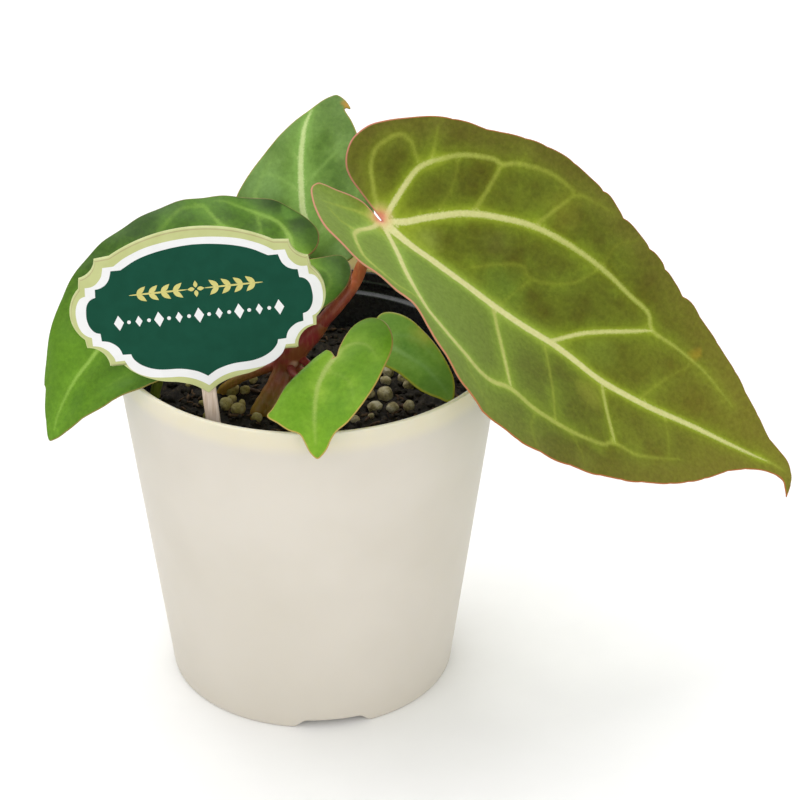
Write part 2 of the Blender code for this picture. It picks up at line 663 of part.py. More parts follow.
def rib_solid(leaf, line, width, mat):
    """A raised vein as a slim ridge with three sides, its foot sunk into the blade."""
    form = leaf["form"]
    length = sum(math.dist(a, b) for a, b in zip(line, line[1:]))
    flat = smooth_path([(*p, 0.0) for p in line], max(5, round(length / 5.5)))[:, :2]
    across = np.gradient(flat, axis=0)
    across = np.stack([-across[:, 1], across[:, 0]], 1)
    across /= np.linalg.norm(across, axis=1)[:, None]
    surface = BLADE_THICKNESS / 2
    points = []
    count = len(flat)
    for i, ((u, v), side) in enumerate(zip(flat, across)):
        taper = 1 - 0.65 * i / (count - 1)
        half = width * taper / 2
        points.append(form.place(*(np.array((u, v)) + side * half), surface - RIB_SINK))
        points.append(form.place(*(np.array((u, v)) - side * half), surface - RIB_SINK))
        points.append(form.place(u, v, surface + 0.3 * width * taper))
    faces = [(0, 1, 2), (3 * count - 3, 3 * count - 1, 3 * count - 2)]
    for i in range(count - 1):
        for a in range(3):
            b = (a + 1) % 3
            faces.append((3 * i + a, 3 * i + b, 3 * i + 3 + b))
            faces.append((3 * i + a, 3 * i + 3 + b, 3 * i + 3 + a))
    return object_from("rib", points, faces, mat)


def make_blade(key, mat):
    leaf = LEAVES[key]
    blade = blade_solid("blade_" + key, leaf, mat)
    for line, width in leaf["ribs"]:
        join_by_boolean(blade, [rib_solid(leaf, line, width, mat)], "UNION", "MANIFOLD")
    return blade


def below_blade(key):
    """Where the top of a petiole ends, just under the blade at its joint."""
    return LEAVES[key]["form"].place(JOINT_U, 0.0, -(BLADE_THICKNESS / 2 + TIP_GAP))


# Label: a shaped plaque on a stake that is pushed into the soil


def plaque_half():
    """The right half of the plaque's outline, from its bottom point up to its top."""

    def arc(centre_x, centre_z, radius, start, end, steps):
        turns = [math.radians(start + (end - start) * i / steps) for i in range(steps + 1)]
        return [(centre_x + radius * math.cos(t), centre_z + radius * math.sin(t)) for t in turns]

    ogee = [(0.0, 0.0), (3.4, 2.4), (7.5, 3.8), (12.0, 4.6), (16.2, 6.2), (19.4, 8.2), (21.6, 10.4)]
    lower_scoop = arc(30.6, 10.3, 5.6, 180, 92, 5)
    bulge = arc(24.4, 25.2, 9.4, -48, 48, 8)
    upper_scoop = arc(31.0, 40.4, 5.4, 262, 186, 5)
    crest_radius = 44.0
    crest = [
        (x, 45.9 - crest_radius + math.sqrt(crest_radius**2 - x * x))
        for x in (21.6, 17.0, 12.0, 6.0, 0.0)
    ]
    return ogee + [(24.8, 10.4)] + lower_scoop + bulge + upper_scoop + crest


def plaque_frame():
    """The plaque's own axes: X along it, Y out of its back, Z up it, from its bottom point."""
    lean = Matrix.Rotation(-PLAQUE_LEAN, 4, "X")
    roll = Matrix.Rotation(-PLAQUE_ROLL, 4, "Y")
    return Matrix.Translation(Vector(PLAQUE_POINT)) @ lean @ roll


def make_label():
    half = plaque_half()
    outline = half + [(-x, z) for x, z in reversed(half[1:-1])]
    frame = plaque_frame()
    count = len(outline)
    points = []
    for y in (0.0, PLAQUE_THICKNESS):
        points += [tuple(frame @ Vector((x, y, z))) for x, z in outline]
    faces = [list(range(count)), list(range(count, 2 * count))]
    for i in range(count):
        j = (i + 1) % count
        faces.append((i, j, count + j, count + i))
    plaque = object_from("label_plaque", points, faces, LABEL_GREEN, smooth=False)
    stake = strip("label_stake", frame, 0.0, STAKE_WOOD)
    return plaque, stake


def strip(name, frame, grow, mat):
    """The stake, or with a little growth the slot that it has pushed open in the soil."""
    points = []
    for z, y in STAKE_LINE:
        end = grow if z < 0 else 0.0
        for x in (-STAKE_WIDTH / 2 - grow, STAKE_WIDTH / 2 + grow):
            for back in (-grow, STAKE_THICKNESS + grow):
                points.append(tuple(frame @ Vector((x, y + back, z - end))))
    faces = [(0, 1, 3, 2)]
    for k in range(len(STAKE_LINE) - 1):
        for a, b in ((0, 1), (1, 3), (3, 2), (2, 0)):
            faces.append((4 * k + a, 4 * k + b, 4 * k + 4 + b, 4 * k + 4 + a))
    last = 4 * len(STAKE_LINE) - 4
    faces.append((last, last + 1, last + 3, last + 2))
    return object_from(name, points, faces, mat, smooth=False)


def make_side_shoot(soil):
    """A young rolled leaf that has just come up by the wall."""
    path = smooth_path(SHOOT_LINE, 9)
    shoot = tube("side_shoot", path, np.interp(np.linspace(0, 1, 9), (0, 0.4, 0.75, 1),
                                               (1.3, 1.5, 1.3, 0.5)), 8, SHOOT_GREEN)
    hole_path = np.concatenate([[path[0] + (0, 0, -0.4)], path[:4]])
    hole = tube("hole", hole_path, [2.0] * 5, 10, SHOOT_GREEN)
    join_by_boolean(soil, [hole], "DIFFERENCE", "MANIFOLD")
    return shoot


clear_scene()
CREAM_PLASTIC = material("cream_polypropylene", (231, 224, 211), 0.45)
BLACK_PLASTIC = material("black_polypropylene", (34, 34, 37), 0.4)
SOIL_BROWN = material("potting_mix", (44, 38, 33), 0.95)
CROWN_RED = material("crown_skin", (118, 58, 48), 0.5)
ROOT_BROWN = material("root_skin", (112, 84, 32), 0.6)
PETIOLE_RED = material("petiole_skin", (146, 74, 46), 0.45)
OLIVE_LEAF = material("olive_leaf", (108, 116, 42), 0.5)
GREEN_LEAF = material("green_leaf", (92, 142, 62), 0.45)
YOUNG_LEAF = material("young_leaf", (126, 168, 60), 0.45)
SHOOT_GREEN = material("shoot_skin", (96, 112, 30), 0.5)
LABEL_GREEN = material("label_print", (36, 80, 62), 0.4)
STAKE_WOOD = material("stake_wood", (212, 190, 170), 0.7)

make_cover_pot()
make_grower_pot()
SOIL = make_soil()
CROWN = make_crown(SOIL)
make_petiole("large", [(3.6, -0.9, 108.9), (8.4, 0.0, 114.0), (11.1, 1.5, 116.9),
                       (13.3, 3.4, 119.6), (15.0, 2.4, 124.8), (17.8, -0.6, 132.0)], 2.0, 1.5, 0.5)
make_petiole("left", [(-2.4, 2.4, 103.0), (-1.6, 5.6, 108.0), (-0.6, 7.2, 115.0),
                      (-0.8, 6.6, 121.0)], 1.5, 1.1, 0.4, CROWN)
make_petiole("back", [(-5.4, 2.2, 99.0), (-5.4, 10.0, 102.0), (-3.2, 19.0, 108.0),
                      (-0.2, 24.2, 115.8)], 1.4, 1.1, 0.4, CROWN)
make_petiole("small_front", [(-5.4, -2.2, 96.0), (-4.0, -9.0, 96.5), (-0.4, -20.0, 101.0),
                             (4.6, -31.0, 110.0)], 1.2, 0.9, 0.3, CROWN)
make_petiole("small_right", [(-2.6, -1.6, 98.2), (3.0, -6.4, 96.0), (10.0, -11.0, 97.0),
                             (16.6, -12.4, 103.0)], 1.2, 0.9, 0.3, CROWN)
make_blade("large", OLIVE_LEAF)
make_blade("back", GREEN_LEAF)
make_blade("left", GREEN_LEAF)
make_blade("small_front", YOUNG_LEAF)
make_blade("small_right", YOUNG_LEAF)
make_label()
SLOT = strip("slot", plaque_frame(), 0.3, STAKE_WOOD)
join_by_boolean(SOIL, [SLOT], "DIFFERENCE", "MANIFOLD")
make_side_shoot(SOIL)
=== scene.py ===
# %% [markdown]
# # A young potted anthurium
#
# This lesson dresses a potted aroid: five heart-shaped leaves with pale veins, red petioles, a short stem
# on prop roots, potting mix with perlite, a cream pot with a black nursery pot in it, and a plant label on
# a stake. The plain solids are loaded first. They fix every place and size, so each finer piece is made
# where its solid is.

# %% Load the solids and keep their box
import math
import random

import bmesh
import bpy
import numpy as np
from mathutils import Matrix, Vector
from mathutils.geometry import delaunay_2d_cdt


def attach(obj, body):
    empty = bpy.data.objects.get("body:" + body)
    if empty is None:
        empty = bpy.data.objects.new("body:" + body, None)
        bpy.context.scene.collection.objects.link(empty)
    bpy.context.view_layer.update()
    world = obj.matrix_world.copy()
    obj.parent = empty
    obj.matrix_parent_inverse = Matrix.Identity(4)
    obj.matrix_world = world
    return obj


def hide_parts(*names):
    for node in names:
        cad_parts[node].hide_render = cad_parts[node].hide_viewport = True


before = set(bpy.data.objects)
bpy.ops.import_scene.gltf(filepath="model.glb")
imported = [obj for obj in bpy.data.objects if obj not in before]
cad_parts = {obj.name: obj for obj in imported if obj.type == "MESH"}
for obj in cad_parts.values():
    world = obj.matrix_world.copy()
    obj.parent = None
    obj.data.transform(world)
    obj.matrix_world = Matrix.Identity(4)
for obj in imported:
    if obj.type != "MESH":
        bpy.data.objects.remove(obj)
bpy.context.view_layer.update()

MM = 0.001
print("solids loaded:", sorted(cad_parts))

# %% [markdown]
# ## Colours and nodes
#
# A colour picked from a screen is sRGB, but a shader counts light, which is linear. One function turns hex
# values into linear ones. A second small function adds a shader node with its settings and its links, so
# that each material below reads as a short recipe.

# %% Colour and node helpers
def linear(hex_colour):
    """An sRGB hex colour as the linear RGBA that a shader wants."""
    channels = [int(hex_colour[i : i + 2], 16) / 255 for i in (1, 3, 5)]
    return (*[c / 12.92 if c <= 0.04045 else ((c + 0.055) / 1.055) ** 2.4 for c in channels], 1.0)


def add(material, kind, inputs=None, stops=None, **settings):
    """Adds one shader node with its settings, ramp stops and links.

    An input is a number, a hex colour, a node (its first output), or a node with an output's name.
    """
    tree = material.node_tree
    node = tree.nodes.new("ShaderNode" + kind)
    for name, value in settings.items():
        setattr(node, name, value)
    for place, colour in stops or ():
        known = node.color_ramp.elements
        stop = known[0] if place == stops[0][0] else known.new(place)
        stop.position = place
        stop.color = linear(colour)
    if stops:
        node.color_ramp.elements.remove(node.color_ramp.elements[-1])
    for name, value in (inputs or {}).items():
        socket = node.inputs[name] if isinstance(name, int) else next(
            s for s in node.inputs if s.enabled and s.name == name)
        if isinstance(value, str):
            socket.default_value = linear(value)
        elif isinstance(value, bpy.types.Node):
            tree.links.new(next(s for s in value.outputs if s.enabled), socket)
        elif isinstance(value, tuple) and isinstance(value[0], bpy.types.Node):
            tree.links.new(value[0].outputs[value[1]], socket)
        else:
            socket.default_value = value
    return node


def new_material(name):
    """A material with an empty node tree."""
    material = bpy.data.materials.new(name)
    material.use_nodes = True
    material.node_tree.nodes.clear()
    return material


SMOOTH = dict(interpolation_type="SMOOTHSTEP")
COLOUR = dict(data_type="RGBA")
print("mid grey is", [round(c, 3) for c in linear("#808080")])

# %% [markdown]
# ## The camera
#
# A long lens far away keeps the pot's sides almost straight, as in a product photograph; a wide lens close
# by would spread them. The camera's place was solved from the pot, whose rim, sides and foot are circles
# and lines of known size. Yaw, pitch and roll become three axes here, so each can be changed on its own.

# %% Camera
scene = bpy.context.scene
scene.view_settings.view_transform = "Standard"

CAMERA_AT = Vector((0.0, -732.0, 499.0)) * MM
LENS_MM, SENSOR_MM = 135, 36
YAW, PITCH, ROLL = (math.radians(a) for a in (1.984, 29.585, 0.218))
ahead = Vector((math.sin(YAW) * math.cos(PITCH), math.cos(YAW) * math.cos(PITCH), -math.sin(PITCH)))
level = Vector((math.cos(YAW), -math.sin(YAW), 0.0))
upright = level.cross(ahead)
right = level * math.cos(ROLL) + upright * math.sin(ROLL)
top = upright * math.cos(ROLL) - level * math.sin(ROLL)

camera_data = bpy.data.cameras.new("product_lens")
camera_data.lens = LENS_MM
camera_data.sensor_width = SENSOR_MM
camera = bpy.data.objects.new("product_camera", camera_data)
camera.matrix_world = Matrix.Translation(CAMERA_AT) @ Matrix((right, top, -ahead)).transposed().to_4x4()
scene.collection.objects.link(camera)
scene.camera = camera
print("camera is %.0f mm from the pot's foot" % (CAMERA_AT.length / MM))

# %% [markdown]
# ## The floor
#
# A product photograph is taken on a sweep of matt paper. One plain sheet is enough, because the camera
# never sees its edge. The helper below turns points and faces into an object, and every piece is made
# through it.

# %% Floor
def plain_object(name, points, faces, material, smooth=True):
    """A mesh object from points in millimetres."""
    mesh = bpy.data.meshes.new(name)
    mesh.from_pydata((np.asarray(points, float) * MM).tolist(), [], [list(f) for f in faces])
    mesh.materials.append(material)
    if smooth:
        mesh.shade_smooth()
    item = bpy.data.objects.new(name, mesh)
    scene.collection.objects.link(item)
    return item


paper = new_material("matt_paper_sweep")
# Matt paper has almost no gloss. Its clumps of fibre are drawn 18 mm wide, far coarser than real ones.
fibre = add(paper, "TexNoise", {"Scale": 1000.0, "Detail": 2.0})
tint = add(paper, "ValToRGB", {"Fac": fibre}, stops=[(0.3, "#fafaf9"), (0.7, "#fdfdfc")])
surface = add(paper, "BsdfPrincipled", {"Base Color": tint, "Roughness": 0.95, "Specular IOR Level": 0.1})
add(paper, "OutputMaterial", {"Surface": surface})
SHEET_HALF = 9000
corners = [(x * SHEET_HALF, y * SHEET_HALF, 0) for x, y in ((-1, -1), (1, -1), (1, 1), (-1, 1))]
floor = plain_object("studio_floor", corners, [(0, 1, 2, 3)], paper)
print("floor is", 2 * SHEET_HALF * MM, "m wide")

# %% [markdown]
# ## The light
#
# Between softboxes every edge gets a broad highlight and no hard shadow. An even pale sky fills the
# shadows, and four square area lamps stand where softboxes would: one overhead, two in front, a weak one
# behind. A sun lamp is simpler, but its small highlight makes a waxy leaf look wet. Places and sizes are in
# metres.

# %% Lights
SKY_STRENGTH = 0.72
PLANT_MIDDLE = Vector((0.02, 0.0, 0.09))

world = bpy.data.worlds.new("soft_sky")
scene.world = world
world.use_nodes = True
world.node_tree.nodes["Background"].inputs["Color"].default_value = linear("#ffffff")
world.node_tree.nodes["Background"].inputs["Strength"].default_value = SKY_STRENGTH


def soft_lamp(name, place, size, watts):
    """A square area lamp that looks at the middle of the plant."""
    data = bpy.data.lights.new(name, "AREA")
    data.size = size
    data.energy = watts
    lamp = bpy.data.objects.new(name, data)
    lamp.location = place
    lamp.rotation_euler = (PLANT_MIDDLE - Vector(place)).to_track_quat("-Z", "Y").to_euler()
    scene.collection.objects.link(lamp)


soft_lamp("overhead_softbox", (-0.25, 0.45, 1.5), 1.5, 13.0)
soft_lamp("key_softbox", (-0.8, -1.1, 0.95), 0.9, 3.5)
soft_lamp("front_softbox", (0.5, -1.4, 0.75), 1.0, 4.9)
soft_lamp("back_softbox", (-0.4, 1.35, 0.95), 1.0, 2.0)

# %% [markdown]
# ## The form of a leaf
#
# A leaf blade is drawn flat first, with u along the midrib and v across it, in millimetres. The flat
# drawing is then bent along the midrib and folded up on both sides of it, like a sheet with a soft crease.
# Doing it in this order keeps the outline and the veins easy to draw, and the same form places the petiole
# under the blade.

# %% Leaf form
CREASE_RADIUS = 3.0
LOBE_END, TIP_END, ALONG_COUNT = -60, 170, 2301
PROBE = 0.3


class LeafForm:
    """Maps the flat drawing of a blade to its bent and folded shape in space."""

    def __init__(self, joint, azimuth, elevation, roll, bend, folds, roll_under=None):
        azimuth, elevation, roll = map(math.radians, (azimuth, elevation, roll))
        self.joint = np.array(joint)
        self.ahead = np.array((math.cos(elevation) * math.cos(azimuth),
                               math.cos(elevation) * math.sin(azimuth), math.sin(elevation)))
        level = np.array((-math.sin(azimuth), math.cos(azimuth), 0.0))
        upright = np.cross(self.ahead, level)
        self.across = level * math.cos(roll) + upright * math.sin(roll)
        self.up = upright * math.cos(roll) - level * math.sin(roll)
        self.folds = [np.array(table, float).T for table in folds]
        self.roll_under = roll_under
        start, end, degrees = bend
        self.u = np.linspace(LOBE_END, TIP_END, ALONG_COUNT)
        angle = np.radians(degrees) * np.clip((self.u - start) / (end - start), 0, 1)
        self.angle = angle - np.interp(0, self.u, angle)
        step = self.u[1] - self.u[0]
        self.reach = np.cumsum(np.cos(self.angle)) * step
        self.reach -= np.interp(0, self.u, self.reach)
        self.drop = np.cumsum(np.sin(self.angle)) * step
        self.drop -= np.interp(0, self.u, self.drop)

    def height(self, u, v):
        """Height above the bent midrib sheet: the two halves fold up, and an edge may roll."""
        left, right = (np.interp(u, table[0], table[1]) for table in self.folds)
        height = np.where(v > 0, left, right) * (np.hypot(v, CREASE_RADIUS) - CREASE_RADIUS)
        if self.roll_under:
            start, lean, steep = self.roll_under
            past = np.maximum(0, -(v + start + lean * u))
            height = height - steep * (np.hypot(past, 1.0) - 1.0)
        return height

    def sheet(self, u, v):
        """Points of the blade's middle sheet, in millimetres."""
        u, v = np.atleast_1d(np.asarray(u, float)), np.atleast_1d(np.asarray(v, float))
        angle = np.interp(u, self.u, self.angle)[:, None]
        local_up = self.ahead * np.sin(angle) + self.up * np.cos(angle)
        return (self.joint + self.ahead * np.interp(u, self.u, self.reach)[:, None]
                - self.up * np.interp(u, self.u, self.drop)[:, None] + self.across * v[:, None]
                + local_up * self.height(u, v)[:, None])

    def normal(self, u, v):
        """The sheet's unit normal, from its slope over a short probe both ways."""
        along = self.sheet(np.add(u, PROBE), v) - self.sheet(np.subtract(u, PROBE), v)
        across = self.sheet(u, np.add(v, PROBE)) - self.sheet(u, np.subtract(v, PROBE))
        normal = np.cross(along, across)
        return normal / np.linalg.norm(normal, axis=1)[:, None]

    def place(self, u, v, lift):
        """Points of the blade's middle sheet, lifted off it along its own normal."""
        return self.sheet(u, v) + self.normal(u, v) * np.atleast_1d(lift)[:, None]


print("a leaf form is worked out every %.1f mm" % ((TIP_END - LOBE_END) / (ALONG_COUNT - 1)))

# %% [markdown]
# ## Where each leaf stands
#
# A form holds the joint with the petiole in millimetres, the azimuth, elevation and roll of the midrib in
# degrees, and the bend, as where it starts, where it ends and how many degrees it turns down. Then come two
# tables of (u, slope), one for how steeply each half folds up. The small front leaf also rolls its edge
# under: from which distance, how that line leans, and how steeply.

# %% Leaf forms
FORMS = {
    "large": LeafForm((20.2, -4.0, 140.8), -5.5, -31.9, 33, (0, 145, 8), [
        [(-20, 0.45), (40, 0.35), (120, 0.25)],
        [(-20, 1.0), (10, 0.85), (40, 0.45), (80, 0.25), (120, 0.2)]]),
    "back": LeafForm((1.3, 23.2, 122.7), 74.9, 51.7, 0, (0, 44.5, 10), [
        [(0, 0.15), (50, 0.15)], [(0, 0.15), (50, 0.15)]]),
    "left": LeafForm((-1.6, 5.0, 125.0), -151.2, 2.6, -25, (10, 88.7, 60), [
        [(0, 0.0), (60, 0.0)], [(0, 0.0), (60, 0.0)]]),
    "small_front": LeafForm((7.1, -36.0, 117.0), -102.7, -19.7, 0, (-5, 33, 30), [
        [(0, 0.2), (50, 0.2)], [(0, 0.2), (50, 0.2)]], roll_under=(3.2, 0.52, 1.5)),
    "small_right": LeafForm((19.7, -12.0, 108.9), -38.5, -16.0, 25, (0, 29, 25), [
        [(0, 0.1), (50, 0.1)], [(0, 0.1), (50, 0.1)]]),
}
print("leaf forms:", {k: f.joint.tolist() for k, f in FORMS.items()})

# %% [markdown]
# ## Curves through a few points
#
# Outlines and veins are drawn with a few points each and rounded by a Catmull-Rom curve, which passes
# through every point. Walking the curve in even steps gives a mesh with even triangles.

# %% Curve helpers
def through(points, closed=False, per_span=16):
    """A dense smooth curve through the points, with as many columns as they have."""
    points = np.asarray(points, float)
    if closed:
        ring = np.concatenate([points[-1:], points, points[:2]])
    else:
        ring = np.concatenate([[2 * points[0] - points[1]], points, [2 * points[-1] - points[-2]]])
    a, b, c, d = (ring[i : len(ring) - 3 + i, None, :] for i in range(4))
    s = np.linspace(0, 1, per_span, endpoint=False)[None, :, None]
    curve = 0.5 * (2 * b + (c - a) * s + (2 * a - 5 * b + 4 * c - d) * s**2 + (3 * b - a - 3 * c + d) * s**3)
    curve = curve.reshape(-1, points.shape[1])
    return curve if closed else np.concatenate([curve, points[-1:]])


def even_steps(curve, spacing, closed=False):
    """The curve again in steps of equal length, near the spacing asked for."""
    walk = np.concatenate([curve, curve[:1]]) if closed else curve
    length = np.concatenate([[0], np.cumsum(np.linalg.norm(np.diff(walk, axis=0), axis=1))])
    count = max(4, int(round(length[-1] / spacing)))
    at = np.linspace(0, length[-1], count + 1)
    stepped = np.stack([np.interp(at, length, column) for column in walk.T], 1)
    return stepped[:-1] if closed else stepped


def sideways(curve, closed=False):
    """Unit vectors to the left of a flat curve."""
    if closed:
        along = np.roll(curve, -1, 0) - np.roll(curve, 1, 0)
    else:
        along = np.gradient(curve, axis=0)
    along = along / (np.linalg.norm(along, axis=1)[:, None] + 1e-12)
    return np.stack([-along[:, 1], along[:, 0]], 1)


circle = through([(1, 0), (0, 1), (-1, 0), (0, -1)], closed=True)
print("a circle of 4 points becomes", len(circle), "points")

# %% [markdown]
# ## Inside, nearest and thinned out
#
# Three questions come back for every blade. Is a point inside the margin? If so, a ray to the right crosses
# the loop an odd number of times. How far is it from a vein, and how far along? Each straight run of the
# vein is tried in turn. Is it too near another point? A grid of cells keeps that quick.

# %% Loop and distance helpers
TINY = 1e-15  # keeps a division from failing on a level run
CELL = 1.5


def within(loop, points):
    """True for each point that lies inside the closed loop."""
    x, y = points.T
    result = np.zeros(len(points), bool)
    for (x0, y0), (x1, y1) in zip(loop, np.roll(loop, -1, 0)):
        crosses = (y0 > y) != (y1 > y)
        if crosses.any():
            result ^= crosses & (x < x0 + (x1 - x0) * (y - y0) / (y1 - y0 + TINY))
    return result


def inwards(loop, at=30, probe=0.2):
    """Unit vectors that point into a closed loop, whichever way round it runs."""
    side = sideways(loop, closed=True)
    return side if within(loop, (loop[at] + side[at] * probe)[None])[0] else -side


def nearest(points, line):
    """For each point: its distance to a polyline and how far along it, from 0 to 1, the nearest place is."""
    best = np.full(len(points), np.inf)
    share = np.zeros(len(points))
    length = np.concatenate([[0], np.cumsum(np.linalg.norm(np.diff(line, axis=0), axis=1))])
    for i, (a, b) in enumerate(zip(line, line[1:])):
        ab = b - a
        t = np.clip(((points - a) @ ab) / (ab @ ab + 1e-12), 0, 1)
        distance = np.linalg.norm(points - a - t[:, None] * ab, axis=1)
        closer = distance < best
        best[closer] = distance[closer]
        share[closer] = ((length[i] + t * (length[i + 1] - length[i])) / length[-1])[closer]
    return best, share


def thinned(groups):
    """All the points, each kept only where no earlier point lies within its own group's spacing."""
    kept, cells = [], {}
    for points, spacing in groups:
        for x, y in points:
            cell = (int(x // CELL), int(y // CELL))
            close = False
            for i in (-1, 0, 1):
                for j in (-1, 0, 1):
                    for a, b in cells.get((cell[0] + i, cell[1] + j), ()):
                        if (a - x) ** 2 + (b - y) ** 2 < spacing * spacing:
                            close = True
            if not close:
                kept.append((x, y))
                cells.setdefault(cell, []).append((x, y))
    return np.array(kept)


SQUARE = np.array([(0.0, 0.0), (1.0, 0.0), (1.0, 1.0), (0.0, 1.0)])
print("inside the unit square:", within(SQUARE, np.array([(0.5, 0.5), (1.5, 0.5)])).tolist())

# %% [markdown]
# ## The drawings of the leaves
#
# Each blade has an outline and a list of veins, both traced in the flat drawing. A vein is given as its
# points, its width at both ends, and how bright it is at both ends, from 0 to 1. In this kind of plant the
# main veins start at the joint, run out in arcs and meet each other near the margin, so most of them are
# loops rather than branches.
#
# Five more values describe the skin, all in millimetres but the last. Spacing is the grid between the
# veins, notches is how deep the margin is nicked, quilt is how far the fields between the veins dome up,
# swell is how high the broad waves are, and glow is how far the paler tissue reaches beside a vein, as a
# share of the usual.

# %% [markdown]
# ### The large leaf
#
# The oldest blade is long, with a tip that hooks down and two lobes whose inner edges meet over the joint.
# Its veins are bold and its margin is puckered, so it gets the most veins and the deepest notches.

# %% Large leaf drawing
DRAWINGS = {}
DRAWINGS["large"] = dict(
    outline=[
        (0, 0.2), (-3.3, 1.7), (-6.5, 3), (-10, 4.4), (-13, 5.7), (-15.8, 7.8), (-17.6, 11), (-18, 15),
        (-16, 19.6), (-12.5, 23), (-8.1, 26.2), (-1, 30.7), (7, 33.8), (12, 34.9), (16, 36.1), (21, 38),
        (27.7, 39.8), (35.4, 40.9), (42, 40.5), (48.5, 39.6), (53.4, 38.8), (58.8, 36.7), (64.5, 35.2),
        (73, 32.9), (79.5, 30.5), (83, 29), (85.8, 27.8), (90.4, 26.9), (96.3, 24.3), (102.1, 22),
        (110.5, 18.4), (121, 12.8), (127.5, 9), (133.5, 6.8), (137.7, 5.4), (140.6, 3.1), (141.6, 0),
        (141.2, -4.8), (140, -2), (138.4, -0.2), (133.5, -0.9), (128.5, -3), (124, -6.2), (119.5, -10.2),
        (113.7, -16.4), (107.7, -22), (98.4, -28.6), (89, -34), (79.5, -38.4), (69.3, -42.5), (59, -45.6),
        (50, -46.9), (40, -46.6), (31, -45), (23, -41.8), (16, -36.8), (10, -32.8), (4, -31.6), (-4.5, -30.2),
        (-10, -28.7), (-14.3, -25.8), (-18, -21.5), (-20.5, -14.5), (-21.6, -7.5), (-21.8, -2.8), (-20.8, 0),
        (-18.8, 0.9), (-15, 1.5), (-11, 2.1), (-7, 2.2), (-3.6, 1.2), (-1.2, 0.2)],
    veins=[
        ([(0, 0), (5, -1.4), (11, -2.8), (17, -3.4), (30, -5), (43, -6.2), (57, -6), (64.5, -6.5), (72, -7.6),
          (80, -7.2), (88, -6.3), (97, -4.6), (106, -2.7), (122, 0), (131, 1.8)], 2.8, 1.2, 1.0, 0.8),
        ([(128, 1.3), (133, 2.1), (138.4, 2.4)], 0.7, 0.4, 0.5, 0.2),
        ([(0.5, 0.3), (6.1, 3.7), (10.2, 7.1), (18.6, 13.1), (27, 16.9), (38.5, 20.4), (51.6, 21.4),
          (62.6, 20.7), (72, 19), (79, 17.8), (82.6, 14.4), (91.3, 14.2), (102.7, 12.9), (114.4, 9.4)],
         1.7, 0.5, 1.0, 0.3),
        ([(0.3, 0.8), (0.4, 6.4), (1.4, 15.8), (3.7, 19.8), (7, 23.2)], 1.5, 1.1, 1.0, 0.62),
        ([(5, 21.2), (10.8, 26), (18.6, 29.4), (21.8, 29.5), (25.6, 32), (34.4, 34.6), (42.5, 34.3),
          (44, 33.3), (47, 34.6), (56, 35.3)], 1.1, 0.7, 0.55, 0.15),
        ([(-0.2, 0.5), (-3.9, 4), (-6.9, 7.2), (-10.2, 11.6), (-10.9, 16.2), (-7.8, 21.4), (-4, 22),
          (0.3, 18.9), (1.9, 17.8)], 1.0, 0.8, 0.42, 0.28),
        ([(3.9, 20.2), (2.2, 25.5), (1.1, 28.6)], 0.6, 0.4, 0.3, 0.15),
        ([(20.5, 14.2), (21.4, 19), (21.8, 29.5)], 0.9, 0.9, 0.32, 0.36),
        ([(12, 8.6), (12.5, 17), (10.4, 24.6)], 0.5, 0.5, 0.14, 0.14),
        ([(38, 20.4), (40.6, 26.2), (44, 33.3)], 0.8, 0.7, 0.36, 0.28),
        ([(26.2, 32.4), (26.3, 35.4)], 0.4, 0.4, 0.2, 0.1),
        ([(60.6, 21), (61.6, 28.6), (66.9, 33.3)], 0.5, 0.4, 0.14, 0.06),
        ([(56, -6), (64.9, 3.1), (76.6, 10.6), (82.6, 14.4)], 1.0, 0.8, 0.8, 0.75),
        ([(87.2, -6), (92.4, 4.8), (98, 12.8)], 0.6, 0.4, 0.22, 0.15),
        ([(27.7, 2), (36, 7.8), (40.8, 9.6), (44.5, 8), (54.4, 12.3), (60, 19.6)], 0.4, 0.4, 0.2, 0.16),
        ([(44.5, 8), (43, 5), (38.9, -5)], 0.4, 0.4, 0.16, 0.12),
        ([(-0.8, -1.2), (-2.4, -4.9), (-4.6, -8.4), (-6.8, -11.7), (-8.2, -16), (-7.2, -21), (-4.4, -26.2),
          (4, -28.7), (13, -28)], 1.3, 0.6, 0.9, 0.3),
        ([(-7.4, -13.2), (-9.8, -12.9), (-12.6, -12.5), (-15.1, -10.5), (-16.6, -8.2)], 0.9, 0.6, 0.36, 0.2),
        ([(-0.8, -0.5), (-6.6, -1.3), (-12.6, -3.9), (-16.7, -6.1), (-18.2, -6.7)], 1.2, 0.7, 0.42, 0.22),
        ([(0.9, -0.9), (4.6, -8), (9.4, -21.2), (14, -27.6), (19.2, -30.6), (30, -33.2), (35.5, -34.2),
          (41.6, -33.6), (47.5, -31.6), (57, -32.4), (68.2, -30.9), (79, -27.7), (83, -24.6), (91.4, -23.3),
          (104, -16)], 1.7, 0.9, 1.0, 0.22),
        ([(37, -6.2), (41.5, -17.4), (47.4, -31.4)], 1.0, 0.9, 0.55, 0.7),
        ([(54, -6.2), (59.8, -21), (63.2, -31.8)], 0.5, 0.5, 0.28, 0.3),
        ([(74.8, -8), (77.4, -14.2), (83.3, -24.6)], 0.8, 0.8, 0.55, 0.6),
        ([(56.6, -32.6), (55.7, -38.9), (58.3, -44.3)], 0.4, 0.4, 0.2, 0.1),
        ([(30, -33.2), (33, -38), (41, -43)], 0.4, 0.4, 0.16, 0.1),
        ([(68, -31), (73, -35), (75, -38)], 0.4, 0.4, 0.16, 0.1),
        ([(96, -4.8), (99, -12), (101, -18)], 0.4, 0.4, 0.2, 0.15)],
    spacing=1.3, notches=0.55, quilt=0.42, swell=0.1, glow=1.0)
print("large leaf has", len(DRAWINGS["large"]["veins"]), "veins")

# %% [markdown]
# ### The back leaf
#
# A shorter heart stands up behind the others. Its tip is curled and a little dry, so the outline hooks back
# on itself there.

